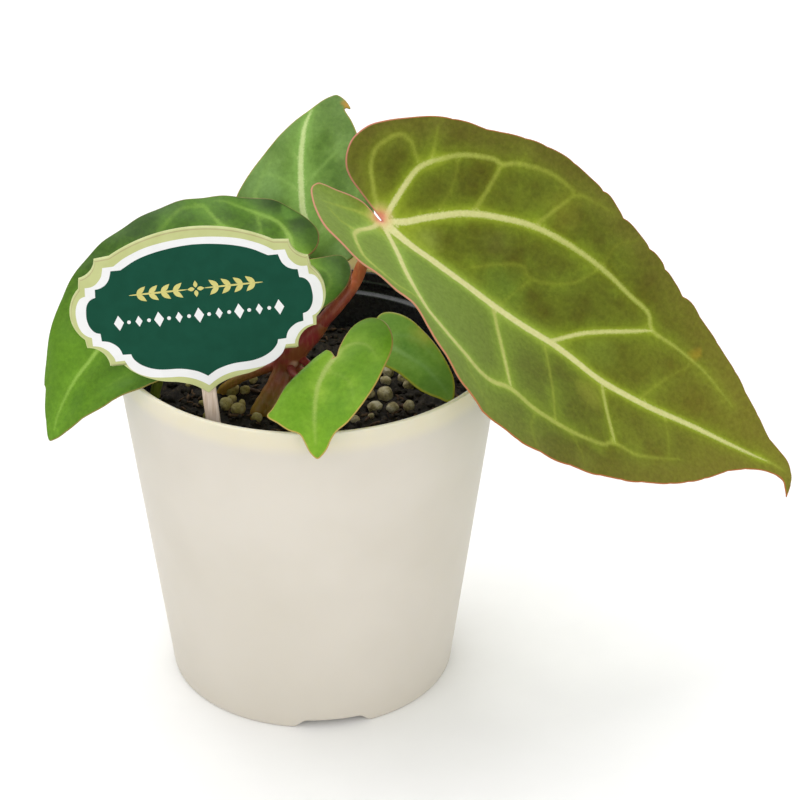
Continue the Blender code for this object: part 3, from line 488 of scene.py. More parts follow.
# %% Back leaf drawing
DRAWINGS["back"] = dict(
    outline=[
        (-3, 1.2), (-4.8, 2.4), (-7, 5.2), (-8.2, 9.8), (-7.6, 14.2), (-4.6, 18.8), (-0.4, 21.8), (4.2, 23),
        (9, 22.8), (13.9, 21.1), (19, 18.8), (24, 16.2), (28.4, 13.7), (33.4, 10.3), (37.1, 6.8), (40.5, 3.7),
        (42.3, 1.4), (42.8, 0), (42, -1.8), (40.6, -3.5), (38.9, -4.8), (38.5, -4.6), (38.8, -3.6),
        (38.2, -3.2), (34.8, -6), (31, -8.2), (26, -10.6), (20, -13.6), (13, -16), (6, -17.2), (0.4, -16.2),
        (-3.6, -13.6), (-6.4, -10.4), (-7.4, -6.4), (-7.2, -2.8), (-5.8, -0.2), (-3.6, 0.6)],
    veins=[
        ([(0.5, 0.4), (4, 2.2), (7.6, 3.8), (10.4, 4.5), (16.1, 5.7), (21.9, 6.7), (26.3, 7.1), (30.8, 7.3),
          (33.9, 7), (36.5, 6.3), (37.2, 6.1)], 1.7, 1.0, 0.95, 0.75),
        ([(9, 5), (12, 4.8), (15.5, 4.2), (18.1, 2.3), (22.3, -0.7), (26.1, -3.3), (28.3, -5)],
         0.8, 0.5, 0.34, 0.14),
        ([(0.2, -0.9), (1.9, -2), (3.7, -3.2), (6.4, -4.6)], 1.0, 0.7, 0.6, 0.3),
        ([(1, 0.8), (3, 8), (6, 14), (9.4, 17.6), (11.5, 17.4), (13.3, 17.1), (16.9, 16.3), (20.7, 14.7)],
         1.0, 0.6, 0.5, 0.14),
        ([(11.4, 5), (13.3, 6.7), (14.7, 9.4), (16.1, 12.2), (16.4, 16)], 0.6, 0.5, 0.3, 0.16),
        ([(20, 6.2), (24, 10), (27.6, 11.6)], 0.5, 0.4, 0.18, 0.1),
        ([(0.5, -0.2), (2.2, -2.6), (8, -9), (16, -11.4), (22, -9.6)], 1.0, 0.4, 0.4, 0.15),
        ([(-0.4, 0.8), (-4, 6), (-4.4, 12), (1, 17.6), (9, 17)], 0.8, 0.4, 0.35, 0.15)],
    spacing=1.1, notches=0.1, quilt=0.4, swell=0.25, glow=1.8)
print("back leaf has", len(DRAWINGS["back"]["veins"]), "veins")

# %% [markdown]
# ### The left leaf
#
# This blade bends down over the pot's rim. The label hides most of its middle, so the veins there only
# carry on from the ends that show. Its skin is the most quilted of all.

# %% Left leaf drawing
DRAWINGS["left"] = dict(
    outline=[
        (0, 0), (-4, 0.3), (-8, 0.6), (-11, 1), (-12.4, 2.2), (-12.8, 4.4), (-12.2, 7), (-10.7, 9.4),
        (-8.5, 11.8), (-5.5, 13.9), (-2.2, 15.7), (4, 18.4), (10, 20.8), (17, 23), (26, 24.6), (36, 24.3),
        (45, 22.6), (53, 20.5), (60, 18.9), (67, 17.6), (75, 16.6), (82, 15.7), (86, 15.4), (88.6, 13.9),
        (87, 9.4), (85.2, 5.3), (83.4, 2.1), (80.3, -3.4), (76.3, -8.8), (71.7, -13.7), (66.5, -18.4),
        (60.2, -22.5), (52.7, -26), (44, -28), (36, -29.1), (28, -29.6), (19.6, -28.9), (8.2, -26.2),
        (1.5, -23.6), (-2.6, -21.6),
        (-5.8, -18.2), (-8.3, -14), (-9.4, -9.5), (-8.6, -6.3), (-6.8, -3.7), (-4.6, -1.9), (-2.2, -0.8)],
    veins=[
        ([(0.4, -0.2), (15, -1.6), (32, -1.8), (50, -0.6), (58, 0.6), (63.3, 1.9), (68.4, 3.5), (73.3, 5.2),
          (78, 7.4), (82.6, 10.3), (85.4, 12.7)], 1.9, 0.6, 0.95, 0.35),
        ([(1.6, -2), (0.9, -5.1), (0.1, -7.6), (-0.1, -10.5), (0.4, -13.3), (1.9, -15.6), (4, -17.6),
          (6.6, -20.2), (9.3, -22.4), (12, -24.6), (15, -26)], 1.3, 0.8, 0.62, 0.2),
        ([(5.1, -18.7), (6, -16.2), (6.7, -13.4), (9, -8), (12, -2.4)], 0.8, 0.6, 0.26, 0.14),
        ([(13, -10), (16.4, -16.4), (17.2, -19.3), (17.9, -22.6), (18.6, -25.5), (20.7, -27)],
         1.2, 0.8, 0.45, 0.2),
        ([(18.6, -25.5), (23.6, -26.4), (26.7, -25.6), (30, -24), (36, -20.6)], 0.9, 0.6, 0.25, 0.14),
        ([(1, -1.6), (7.5, -8), (16.4, -16.4), (26, -18), (38, -19.6), (56, -17), (68, -9)],
         1.1, 0.5, 0.4, 0.14),
        ([(36, -2.6), (47, -10), (56, -17)], 0.6, 0.4, 0.2, 0.12),
        ([(0.6, 1), (6, 9.6), (17, 15.4), (33, 17.2), (52, 14.4), (66, 13)], 1.1, 0.4, 0.4, 0.12),
        ([(-0.6, 1.2), (-5, 6), (-3, 11), (4, 15.4), (12, 18.6)], 0.8, 0.4, 0.3, 0.12)],
    spacing=1.2, notches=0.12, quilt=0.62, swell=0.35, glow=1.5)
print("left leaf has", len(DRAWINGS["left"]["veins"]), "veins")

# %% [markdown]
# ### The small front leaf
#
# A young blade with an uneven outline: one lobe is broad and the other is small. Only its midrib and one
# curl at the joint show clearly.

# %% Small front leaf drawing
DRAWINGS["small_front"] = dict(
    outline=[
        (0, 0), (-3.5, 0.2), (-8, 1), (-12.2, 2.6), (-14.8, 5.4), (-14.7, 8.6), (-12.4, 11.4), (-7.8, 13.9),
        (-3, 14.8), (1.8, 14.4), (8, 12.9), (14.7, 10.4), (20, 7.2), (22.8, 4.6), (25, 3.5), (28, 2.7),
        (30, 1.5), (30.9, 0.3), (29.4, -1.8), (27, -3.5), (25, -5.2), (24.4, -8.2), (23, -11.2),
        (21.6, -14.2),
        (19.2, -13.3), (16.3, -12.4), (13, -11.6), (10, -11.3), (7.5, -11.2), (4.5, -10.8), (-0.6, -7.6),
        (-2.4, -4.4), (-1.6, -1.6)],
    veins=[
        ([(0.4, -0.2), (5, -1.8), (11, -2.8), (19, -2.2), (27, -0.6)], 1.2, 0.5, 0.64, 0.25),
        ([(0, 0.4), (-3.4, 1.6), (-5, 4.4), (-3.8, 8), (0, 11)], 0.9, 0.4, 0.45, 0.15),
        ([(5, -1.2), (8, 5), (14, 7.6)], 0.5, 0.4, 0.16, 0.1)],
    spacing=0.8, notches=0.0, quilt=0.3, swell=0.2, glow=1.4)
print("small front leaf has", len(DRAWINGS["small_front"]["veins"]), "veins")

# %% [markdown]
# ### The small right leaf
#
# The youngest open blade is half the width of the front one. It has a clean edge and a single faint midrib.

# %% Small right leaf drawing
DRAWINGS["small_right"] = dict(
    outline=[
        (0, 0), (-2.6, 1.4), (-5, 3.4), (-5.4, 6), (-4, 8), (-1.2, 9.3), (2.6, 9.8), (7.2, 9.3), (11.5, 8.5),
        (15.5, 7.3), (19.2, 5.9), (22.4, 4.2), (25, 1.6), (26.3, -0.8), (25.2, -2.4), (23, -3.2),
        (20.4, -4.3), (17.5, -5), (14, -5.2), (9.7, -5.2), (5, -6.2), (0.4, -6.8), (-3.4, -5.8), (-4.4, -3.6),
        (-2.4, -1.4)],
    veins=[
        ([(0.4, 0), (4.5, 0.1), (9, 0.6), (14, 1.2), (21, 0.4), (25, -0.6)], 1.0, 0.4, 0.55, 0.1),
        ([(0.4, 0.4), (3, 4), (8, 6), (15, 5)], 0.5, 0.4, 0.2, 0.1)],
    spacing=0.8, notches=0.0, quilt=0.25, swell=0.15, glow=1.4)
print("small right leaf has", len(DRAWINGS["small_right"]["veins"]), "veins")

# %% [markdown]
# ## Making a blade: its margin
#
# A blade could be a plane cut by a mask, but its edge would then be a staircase. Here the margin is a loop
# of points of its own, so it stays a clean line. The margin of an older leaf is nicked where side veins
# pull on it, about every 9 mm, and most of all halfway along its upper half.

# %% Margin
MARGIN_STEP = 0.6
NOTCH_HALF_WIDTH = 1.1
NOTCH_EVERY = (11, 20)  # in steps of the margin
NOTCH_FREE = 20  # steps at both ends of the loop, where the lobes meet
NICKED_FROM, NICKED_TO = 50, 92
SHALLOW = 0.3


def margin_loop(outline, notches, seed):
    """The outline as an even loop, with small notches where the margin of an older leaf puckers."""
    loop = even_steps(through(outline, closed=True), MARGIN_STEP, closed=True)
    if not notches:
        return loop
    draw = random.Random(seed)
    depth = np.zeros(len(loop))
    at = NOTCH_FREE
    while at < len(loop) - NOTCH_FREE:
        u, v = loop[at]
        strong = 1.0 if (v > 0 and NICKED_FROM < u < NICKED_TO) else SHALLOW
        if u > -5:
            reach = (np.arange(len(loop)) - at) * MARGIN_STEP
            depth = np.maximum(depth, notches * strong * np.exp(-np.abs(reach / NOTCH_HALF_WIDTH) ** 1.3))
        at += int(draw.uniform(*NOTCH_EVERY))
    return loop + inwards(loop) * depth[:, None]


NOTCH_SEED = 5
MARGINS = {key: margin_loop(d["outline"], d["notches"], NOTCH_SEED) for key, d in DRAWINGS.items()}
print("points on each margin:", {key: len(loop) for key, loop in MARGINS.items()})

# %% [markdown]
# ## Making a blade: its points and triangles
#
# The triangles should be small along the veins and the margin, where the detail is, and larger between
# them. So the points start with rows that follow the margin and both sides of each vein, and an even grid
# fills what is left. A constrained Delaunay triangulation joins any such cloud and keeps the margin as its
# edge.

# %% Points and triangles
VEIN_STEP = 0.8
ROW_HEIGHT = 0.866  # of a grid of even triangles, as a share of its step
CLEAR_OF_MARGIN = 0.17


def blade_points(loop, lines, grid_step):
    """Points inside the margin: dense rows along it and along the veins, and an even grid between them."""
    inward = inwards(loop)
    groups = [(loop + inward * 0.6, 0.35), (loop + inward * 0.22, 0.2)]
    groups += [(line, 0.3) for line, *_ in lines]
    for line, wide, thin, _, _ in lines:
        half = np.linspace(wide, thin, len(line))[:, None] / 2
        side = sideways(line)
        for share in (0.55, 1.0):
            groups += [(line + sign * side * half * share, 0.26) for sign in (-1, 1)]
        for extra in (0.55, 1.4):
            groups += [((line + sign * side * (half + extra))[::2], 0.45) for sign in (-1, 1)]
    low, high = loop.min(0), loop.max(0)
    rows = np.arange(low[1], high[1], grid_step * ROW_HEIGHT)
    groups.append((np.array([(x + 0.5 * grid_step * (k % 2), y) for k, y in enumerate(rows)
                             for x in np.arange(low[0], high[0], grid_step)]), grid_step * 0.7))
    inner = thinned(groups)
    inner = inner[within(loop, inner)]
    from_margin, _ = nearest(inner, np.concatenate([loop, loop[:1]]))
    return inner[from_margin > CLEAR_OF_MARGIN]


def triangulated(loop, inner):
    """A flat mesh of the points that keeps the loop as its edge, with all its faces turned one way."""
    cloud = [Vector(p) for p in np.concatenate([loop, inner])]
    ring = [(i, (i + 1) % len(loop)) for i in range(len(loop))]
    spots, _, faces, *_ = delaunay_2d_cdt(cloud, ring, [], 1, 1e-6)
    flat = np.array([tuple(p) for p in spots])
    faces = np.array([f for f in faces if len(f) == 3])
    a, b, c = (flat[faces[:, i]] for i in range(3))
    turn = (b - a)[:, 0] * (c - a)[:, 1] - (b - a)[:, 1] * (c - a)[:, 0]
    faces[turn < 0] = faces[turn < 0][:, ::-1]
    return flat, faces


VEINS = {key: [(even_steps(through(points), VEIN_STEP), *rest) for points, *rest in d["veins"]]
         for key, d in DRAWINGS.items()}
FLATS = {key: triangulated(MARGINS[key], blade_points(MARGINS[key], VEINS[key], d["spacing"]))
         for key, d in DRAWINGS.items()}
print("flat triangles:", {key: len(faces) for key, (_, faces) in FLATS.items()})

# %% [markdown]
# ## Making a blade: what each point knows of the veins
#
# The material needs to know how near each point is to a vein. A painted mask would have to be unwrapped and
# stored as a picture. Here every point keeps a few numbers as attributes instead: how far it is from the
# edge of the vein that shows most there, how bright that vein is, and how strongly the tissue beside the
# veins glows.

# %% Vein fields
FAR = 9.0
MAIN_VEIN = 0.3  # a vein at least this bright pulls the skin down into a valley


def vein_fields(flat, lines, glow_share):
    """Per point: how far the showing vein's edge is, how bright it is, the glow, how far a main vein is."""
    edge, main = np.full(len(flat), FAR), np.full(len(flat), FAR)
    power, glow, shown = (np.zeros(len(flat)) for _ in range(3))
    for line, wide, thin, bright, dim in lines:
        distance, share = nearest(flat, line)
        width = (wide + (thin - wide) * share) * (1 - share**12)
        shine = bright + (dim - bright) * share
        spread = glow_share * (0.9 + 0.6 * width)
        off = distance - width / 2
        weight = shine * np.clip((1.0 - off) / 1.4, 0, 1)
        wins = (weight > shown) | ((shown == 0) & (off < edge))
        edge[wins], power[wins], shown[wins] = off[wins], shine[wins], weight[wins]
        glow = 1 - (1 - glow) * (1 - shine * np.exp(-((np.maximum(0, off) / spread) ** 0.9)))
        if bright >= MAIN_VEIN:
            main = np.minimum(main, distance)
    return edge, power, glow, main


FIELDS = {key: vein_fields(FLATS[key][0], VEINS[key], d["glow"]) for key, d in DRAWINGS.items()}
print("share of points on a vein:", {key: round(float((f[0] < 0).mean()), 2) for key, f in FIELDS.items()})

# %% [markdown]
# ## Making a blade: relief and skin
#
# Between its main veins a leaf domes up like a quilt, its margin waves, and each vein stands out as a keel
# below. Numbers that come from the veins themselves keep this relief in step with the colour, which a
# displacement texture would not. The blade is one closed skin: an upper and a lower sheet share the
# margin's points and bulge apart from there, so its edge is round.

# %% Blade maker
THICK = 0.46  # a fresh blade is 0.4 to 0.5 mm thick
EDGE_ROUND = 0.3
ON_MARGIN = 1e-4


def blade_relief(flat, margin, edge, power, main, quilt, swell):
    """How far the middle sheet moves, half the blade's thickness, and the keel under each vein."""
    u, v = flat.T
    ridge = np.clip(1 - (edge + 0.3) / 0.5, 0, 1)
    relief = quilt * (1 - np.exp(-((main / 3.6) ** 2))) + 0.12 * ridge * power
    relief += swell * np.sin(u * 0.43 + 0.8 * np.sin(v * 0.31)) * np.sin(v * 0.37 + 1.0)
    relief *= np.clip(margin / 2.0, 0, 1)
    wave = 0.5 * quilt * np.exp(-margin / 3.0) * np.sin(u * 0.52 + np.where(v > 0, 0.0, 1.7))
    wave *= np.clip(np.hypot(u, v) / 12 - 0.4, 0, 1)
    body = np.sqrt(1 - (1 - np.clip(margin / EDGE_ROUND, 0, 1)) ** 2) * THICK / 2
    keel = 0.28 * np.clip(1 - edge / 0.5, 0, 1) * power * np.clip(margin, 0, 1)
    return relief * 0.6 + wave, body, keel


def make_blade(key, material):
    """The fine skin of one leaf blade, with its vein relief and its attributes."""
    form, drawing, loop = FORMS[key], DRAWINGS[key], MARGINS[key]
    (flat, faces), (edge, power, glow, main) = FLATS[key], FIELDS[key]
    margin, _ = nearest(flat, np.concatenate([loop, loop[:1]]))
    rise, body, keel = blade_relief(flat, margin, edge, power, main, drawing["quilt"], drawing["swell"])
    u, v = flat.T
    middle, normal = form.sheet(u, v), form.normal(u, v)
    over = middle + normal * (rise + body)[:, None]
    under = middle + normal * (rise - body - keel)[:, None]

    shared = margin < ON_MARGIN
    lower = np.arange(len(flat))
    lower[~shared] = len(flat) + np.arange((~shared).sum())
    skin = np.concatenate([faces, lower[faces][:, ::-1]])
    blade = plain_object(key + "_leaf_blade", np.concatenate([over, under[~shared]]), skin.tolist(), material)

    where = np.stack([u, v, np.zeros_like(u)], 1)
    same_below = dict(vein_edge=edge, vein_power=power, vein_glow=glow, margin=margin, flat=where)
    both_sides = {name: (values, values) for name, values in same_below.items()}
    both_sides["below"] = (np.zeros(len(flat)), np.ones(len(flat)))
    for name, (upper, lower_side) in both_sides.items():
        kind, field = ("FLOAT_VECTOR", "vector") if name == "flat" else ("FLOAT", "value")
        layer = blade.data.attributes.new(name, kind, "POINT")
        layer.data.foreach_set(field, np.concatenate([upper, lower_side[~shared]]).ravel())
    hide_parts("blade_" + key)
    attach(blade, "root")
    print(blade.name, "has", len(skin), "triangles")
    return blade


print("blades are", THICK, "mm thick")

# %% [markdown]
# ## The look of a leaf: tissue
#
# A leaf's skin is a waxy cuticle over green tissue. This kind looks velvety: its gloss is low and broad,
# and a thin bloom of light lies on the slopes. Colour comes in layers, and each function below lays one on.
# The first is the tissue between the veins: patches of older and younger cells, a browner or paler zone
# along the margin, dark middles of the fields, and the smallest veins. Distances are millimetres on the
# blade.

# %% Leaf tissue
def leaf_tissue(m, flat, along, stored, colours, patch_mm, deep, tip_mm):
    """The green between the veins, before anything grows on it."""
    broad = add(m, "TexNoise", {"Vector": flat, "Scale": 1 / patch_mm, "Detail": 3.0, "Roughness": 0.6})
    tissue = add(m, "ValToRGB", {"Fac": broad},
                 stops=[(0.34, colours["dark"]), (0.52, colours["mid"]), (0.7, colours["light"])])
    outer = add(m, "MapRange", {"Value": stored["margin"], "From Min": 11.0, "From Max": 0.0, "To Max": 0.75},
                **SMOOTH)
    tissue = add(m, "Mix", {"Factor": outer, "A": tissue, "B": colours["outer"]}, **COLOUR)
    # The tissue is darkest in the middle of the fields between the veins.
    share = add(m, "MapRange", {"Value": stored["vein_edge"], "From Min": 1.2, "From Max": 4.5,
                                "To Max": deep}, **SMOOTH)
    tissue = add(m, "Mix", {"Factor": share, "A": tissue, "B": colours["dark"]}, **COLOUR)
    if "tip" in colours:
        tip = add(m, "MapRange", {"Value": along, "From Min": tip_mm[0], "From Max": tip_mm[1],
                                  "To Max": 0.48}, **SMOOTH)
        tissue = add(m, "Mix", {"Factor": tip, "A": tissue, "B": colours["tip"]}, **COLOUR)
    # The net of the smallest veins has 4 mm cells, only just paler than the tissue.
    net = add(m, "TexVoronoi", {"Vector": flat, "Scale": 0.25, "Randomness": 0.95},
              feature="DISTANCE_TO_EDGE")
    line = add(m, "MapRange", {"Value": net, "From Max": 0.16, "To Min": 0.07, "To Max": 0.0}, **SMOOTH)
    return add(m, "Mix", {"Factor": line, "A": tissue, "B": colours["glow"]}, **COLOUR)


print("tissue layers: patches, margin zone, dark fields, tip, net")

# %% [markdown]
# ## The look of a leaf: painted sheen and patches
#
# On the large leaf a grey-green sheen is painted over the half that turns away from the light, strongest
# near the joint, where the velvet catches light at a grazing angle. No two fields between the veins are
# quite alike, either, and some patches are painted shade. Each patch is a place in the drawing, a reach, a
# colour and how much of it shows, and a noise pushes the place about, so that none is a plain disc.

# %% Leaf painted sheen and patches
def leaf_painted_sheen(m, along, across, tissue, colours, grey):
    """Painted grey sheen over tissue, glow and the pale zone by the veins, strongest near the joint."""
    near = add(m, "MapRange", {"Value": along, "From Min": 82.0, "From Max": 8.0}, **SMOOTH)
    behind = add(m, "Math", {0: along, 1: 0.0}, operation="MINIMUM")
    turned = add(m, "Math", {0: behind, 1: 0.55, 2: across}, operation="MULTIPLY_ADD")
    lower = add(m, "MapRange", {"Value": turned, "From Min": 2.0, "From Max": -9.0, "To Max": grey}, **SMOOTH)
    both = add(m, "Math", {0: near, 1: lower}, operation="MULTIPLY")
    return [add(m, "Mix", {"Factor": both, "A": bare, "B": colours[painted_sheen]}, **COLOUR) for bare, painted_sheen in
            ((tissue, "painted_sheen"), (colours["glow"], "painted_sheen_glow"), (colours["near_glow"], "painted_sheen_near"))]


def leaf_patches(m, flat, tissue, patches):
    """Fields that are browner, paler or yellower than their neighbours, or darker as painted shade, with
    edges that drift by 3 mm.
    """
    drift = (add(m, "TexNoise", {"Vector": flat, "Scale": 0.16, "Detail": 3.0}), "Color")
    drift = add(m, "VectorMath", {0: drift, 1: (0.5, 0.5, 0.5)}, operation="SUBTRACT")
    here = add(m, "VectorMath", {0: drift, 1: (6.0, 6.0, 0.0), 2: flat}, operation="MULTIPLY_ADD")
    for u, v, reach, colour, most in patches:
        away = (add(m, "VectorMath", {0: here, 1: (u, v, 0.0)}, operation="DISTANCE"), "Value")
        share = add(m, "MapRange", {"Value": away, "From Min": reach, "From Max": reach * 0.15,
                                    "To Max": most}, **SMOOTH)
        tissue = add(m, "Mix", {"Factor": share, "A": tissue, "B": colour}, **COLOUR)
    return tissue


print("bloom and patches ready")

# %% [markdown]
# ## The look of a leaf: veins
#
# A vein is a pale cord with a yellow-green glow in the tissue beside it, and the shader only turns the
# stored distances into colour. A real vein's edge is ragged, because side strands leave it every half
# millimetre or so, and a little noise added to the distance gives that. Faint veins have softer edges. At
# the joint of the large leaf red sap shows through, where the petiole's fibres spread into the blade.

# %% Leaf veins
def leaf_veins(m, flat, stored, tissue, glow, near_glow, colours):
    """The glow beside the veins, and the veins themselves."""
    halo = add(m, "MapRange", {"Value": stored["vein_glow"], "From Min": 0.04, "From Max": 0.9,
                               "To Max": 0.85})
    tissue = add(m, "Mix", {"Factor": halo, "A": tissue, "B": glow}, **COLOUR)
    halo = add(m, "MapRange", {"Value": stored["vein_glow"], "From Min": 0.35, "From Max": 1.0,
                               "To Max": 0.8})
    tissue = add(m, "Mix", {"Factor": halo, "A": tissue, "B": near_glow}, **COLOUR)
    pale = add(m, "Math", {0: stored["vein_power"], 1: 2.1}, operation="POWER")
    cord = add(m, "Mix", {"Factor": pale, "A": colours["strand"], "B": colours["core"]}, **COLOUR)
    ragged = add(m, "TexNoise", {"Vector": flat, "Scale": 2.4, "Detail": 3.0})
    ragged = add(m, "MapRange", {"Value": ragged, "From Min": 0.3, "From Max": 0.7, "To Min": -0.24,
                                 "To Max": 0.2})
    edge = add(m, "Math", {0: stored["vein_edge"], 1: ragged}, operation="ADD")
    crisp = add(m, "MapRange", {"Value": stored["vein_power"], "From Min": 0.2, "From Max": 0.9,
                                "To Min": 0.4})
    edge = add(m, "Math", {0: edge, 1: crisp}, operation="MULTIPLY")
    body = add(m, "MapRange", {"Value": edge, "From Min": 0.36, "From Max": -0.3}, **SMOOTH)
    power = add(m, "MapRange", {"Value": stored["vein_power"], "From Max": 0.8})
    share = add(m, "Math", {0: body, 1: power}, operation="MULTIPLY")
    return add(m, "Mix", {"Factor": share, "A": tissue, "B": cord}, **COLOUR)


def leaf_blush(m, flat, tissue, blush):
    """Red sap over the joint: red in the middle, then tan, then straw."""
    reach = (add(m, "VectorMath", {0: flat, 1: (-1.1, 0.8, 0.0)}, operation="DISTANCE"), "Value")
    flush = add(m, "ValToRGB", {"Fac": add(m, "Math", {0: reach, 1: 0.1}, operation="MULTIPLY")},
                stops=[(0.1, "#dd7a6c"), (0.24, "#dcae7c"), (0.55, "#cfc384")])
    share = add(m, "MapRange", {"Value": reach, "From Min": 5.2, "From Max": 0.6, "To Max": blush}, **SMOOTH)
    return add(m, "Mix", {"Factor": share, "A": tissue, "B": flush}, **COLOUR)


print("vein layers: outer glow, inner glow, cord, blush")

# %% [markdown]
# ## The look of a leaf: grain, margin and gloss
#
# Blotches about 1.5 mm wide make velvet uneven, and domed surface cells scatter its gloss. Real cells are
# 0.05 mm wide and would not show, so they are drawn 0.5 mm wide, ten times too coarse. The margin is a thin
# coloured cord, redder near the joint and browner towards the tip. Light spreads a little inside a leaf, so
# the shader has a small subsurface share, and its index of refraction is 1.45, as for plant wax.

# %% Leaf material
def leaf_margin(m, along, across, margin, tissue, colours, rim_mm):
    """The thin cord along the margin: one colour near the joint, another towards the tip."""
    rise = add(m, "Math", {0: across, 1: 0.0}, operation="MAXIMUM")
    way = add(m, "Math", {0: rise, 1: 1.6, 2: along}, operation="MULTIPLY_ADD")
    way = add(m, "Math", {0: way, 1: 0.01}, operation="MULTIPLY")
    cord = add(m, "ValToRGB", {"Fac": way}, stops=[(0.1, colours["rim"]), (0.45, colours["far_rim"])])
    width = add(m, "MapRange", {"Value": way, "From Min": 0.1, "From Max": 0.45, "To Min": rim_mm,
                               "To Max": rim_mm * 0.7})
    share = add(m, "MapRange", {"Value": margin, "From Min": width, "From Max": 0.14,
                                "To Max": 0.85}, **SMOOTH)
    return add(m, "Mix", {"Factor": share, "A": tissue, "B": cord}, **COLOUR)


def leaf_material(name, colours, rough=0.5, shine=0.3, sheen=0.05, blush=0.0, grey=0.0, patch_mm=12.0,
                  deep=0.3, velvet=0.25, rim_mm=0.5, tip_mm=(60.0, 125.0), patches=()):
    """The waxy, velvety skin of a leaf. Colours holds one hex value for each layer."""
    m = new_material(name)
    flat = (add(m, "Attribute", attribute_name="flat"), "Vector")
    stored = {n: (add(m, "Attribute", attribute_name=n), "Fac")
              for n in ("vein_edge", "vein_power", "vein_glow", "margin", "below")}
    split = add(m, "SeparateXYZ", {"Vector": flat})
    along, across = (split, "X"), (split, "Y")

    glow, near_glow = colours["glow"], colours["near_glow"]
    tissue = leaf_tissue(m, flat, along, stored, colours, patch_mm, deep, tip_mm)
    # Painted sheen: grey-green where the large blade turns away from the light.
    if grey:
        tissue, glow, near_glow = leaf_painted_sheen(m, along, across, tissue, colours, grey)
    tissue = leaf_patches(m, flat, tissue, patches)
    tissue = leaf_veins(m, flat, stored, tissue, glow, near_glow, colours)
    if blush:
        tissue = leaf_blush(m, flat, tissue, blush)
    mottle = add(m, "TexNoise", {"Vector": flat, "Scale": 0.7, "Detail": 6.0, "Roughness": 0.72})
    mottle = add(m, "ValToRGB", {"Fac": mottle}, stops=[(0.3, "#6e6e6e"), (0.7, "#ececec")])
    tissue = add(m, "Mix", {"Factor": velvet, "A": tissue, "B": mottle}, blend_type="SOFT_LIGHT", **COLOUR)
    tissue = leaf_margin(m, along, across, stored["margin"], tissue, colours, rim_mm)
    share = add(m, "Math", {0: stored["below"], 1: 0.75}, operation="MULTIPLY")
    tissue = add(m, "Mix", {"Factor": share, "A": tissue, "B": colours["under"]}, **COLOUR)

    cells = add(m, "TexNoise", {"Vector": flat, "Scale": 2.0, "Detail": 5.0, "Roughness": 0.75})
    bump = add(m, "Bump", {"Height": cells, "Strength": 0.16, "Distance": 0.0003})
    gloss = add(m, "MapRange", {"Value": cells, "From Min": 0.3, "From Max": 0.7, "To Min": rough - 0.05,
                                "To Max": rough + 0.07})
    skin = add(m, "BsdfPrincipled", {
        "Base Color": tissue, "Roughness": gloss, "Normal": bump, "IOR": 1.45, "Specular IOR Level": shine,
        "Subsurface Weight": 0.1, "Subsurface Radius": (0.6, 1.0, 0.25), "Subsurface Scale": 0.0008,
        "Sheen Weight": sheen, "Sheen Roughness": 0.45})
    add(m, "OutputMaterial", {"Surface": skin})
    print(name, "has", len(m.node_tree.nodes), "nodes")
    return m


# %% [markdown]
# ### The large leaf's skin
#
# The oldest blade is olive and matt, browner along its margin, and green-gold beside its veins. A dry fleck
# shows near its upper edge.

# %% Velvet olive skin
LOOKS = {}
LOOKS["large"] = leaf_material("velvet_olive_leaf", dict(
    dark="#4f4b14", mid="#606a1e", light="#728224", outer="#6b6728", glow="#7f901c", near_glow="#9bac34",
    core="#d8d598", strand="#9ca434", rim="#cf8474", far_rim="#b4673e", under="#8a9a54", tip="#857f2c",
    painted_sheen="#78903f", painted_sheen_glow="#88aa44", painted_sheen_near="#a4bc60"),
    # The grey share paints a sheen over the half that turns away from the light.
    rough=0.6, shine=0.08, sheen=0.03, blush=0.8, grey=0.85, patch_mm=16.0, deep=0.35, velvet=0.34,
    rim_mm=0.55, patches=[
        (96.7, 15.5, 2.8, "#a08428", 0.5), (10, 17, 6, "#4c4814", 0.4), (38, 1, 10, "#6c8c30", 0.45),
        (70, 1, 10, "#7c9030", 0.45), (43, 28, 8, "#86882c", 0.4), (12, 1, 8, "#a8b854", 0.45),
        (102, -12, 9, "#58541c", 0.35), (72, -14, 7, "#8c9034", 0.5), (-11, 15, 6, "#584e18", 0.35),
        (31, 12, 7, "#6c7430", 0.35)])

# %% [markdown]
# ### The skins of the back and left leaves
#
# Both are satin greens. The back leaf is pale, with a dried brown tip. The left leaf is deeper, darkest in
# the middle of its fields, has dark patches of painted shade, and is a little glossier.

# %% Satin green skins
LOOKS["back"] = leaf_material("satin_light_green_leaf", dict(
    dark="#48681e", mid="#608032", light="#7a9a4e", outer="#708e4a", glow="#78a242", near_glow="#94bc5e",
    core="#d6e4a2", strand="#94b85a", rim="#8fa552", far_rim="#a88a3c", under="#8fae6c"),
    rough=0.4, shine=0.22, patch_mm=9.0, deep=0.3, velvet=0.32, patches=[
        (13, 15, 9, "#8cb068", 0.5), (-6, -8, 7, "#9cc474", 0.6), (40.0, -4.2, 2.3, "#b8822a", 0.85)])
LOOKS["left"] = leaf_material("satin_mid_green_leaf", dict(
    dark="#2c4a0c", mid="#446c12", light="#5c8626", outer="#52792a", glow="#6f962a", near_glow="#8ab43c",
    core="#c6da84", strand="#8cb444", rim="#a87a52", far_rim="#8a7a3c", under="#7f9f62", tip="#6c9a1c"),
    rough=0.32, shine=0.2, sheen=0.02, patch_mm=9.0, deep=0.65, velvet=0.34, tip_mm=(50.0, 74.0), patches=[
        # The patches in #2c4a14 and #1e3808 are painted shade.
        (36, -27, 8, "#2c4a14", 0.5), (26, -27, 6, "#2c4a14", 0.45), (14, -22, 6, "#2c4a14", 0.35),
        (0, -20.5, 5, "#1e3808", 0.7), (-5.5, -11.8, 4.5, "#1e3808", 0.65), (-4, -16.4, 3.4, "#6c9a3c", 0.6),
        (69, -3, 7, "#6c9a24", 0.4), (75, 10, 5, "#3c6410", 0.4)])

# %% [markdown]
# ### The skins of the two small leaves
#
# Young tissue is thinner and more yellow. The front one is bright yellow-green. The right one is deeper,
# with a broad yellow-green margin.

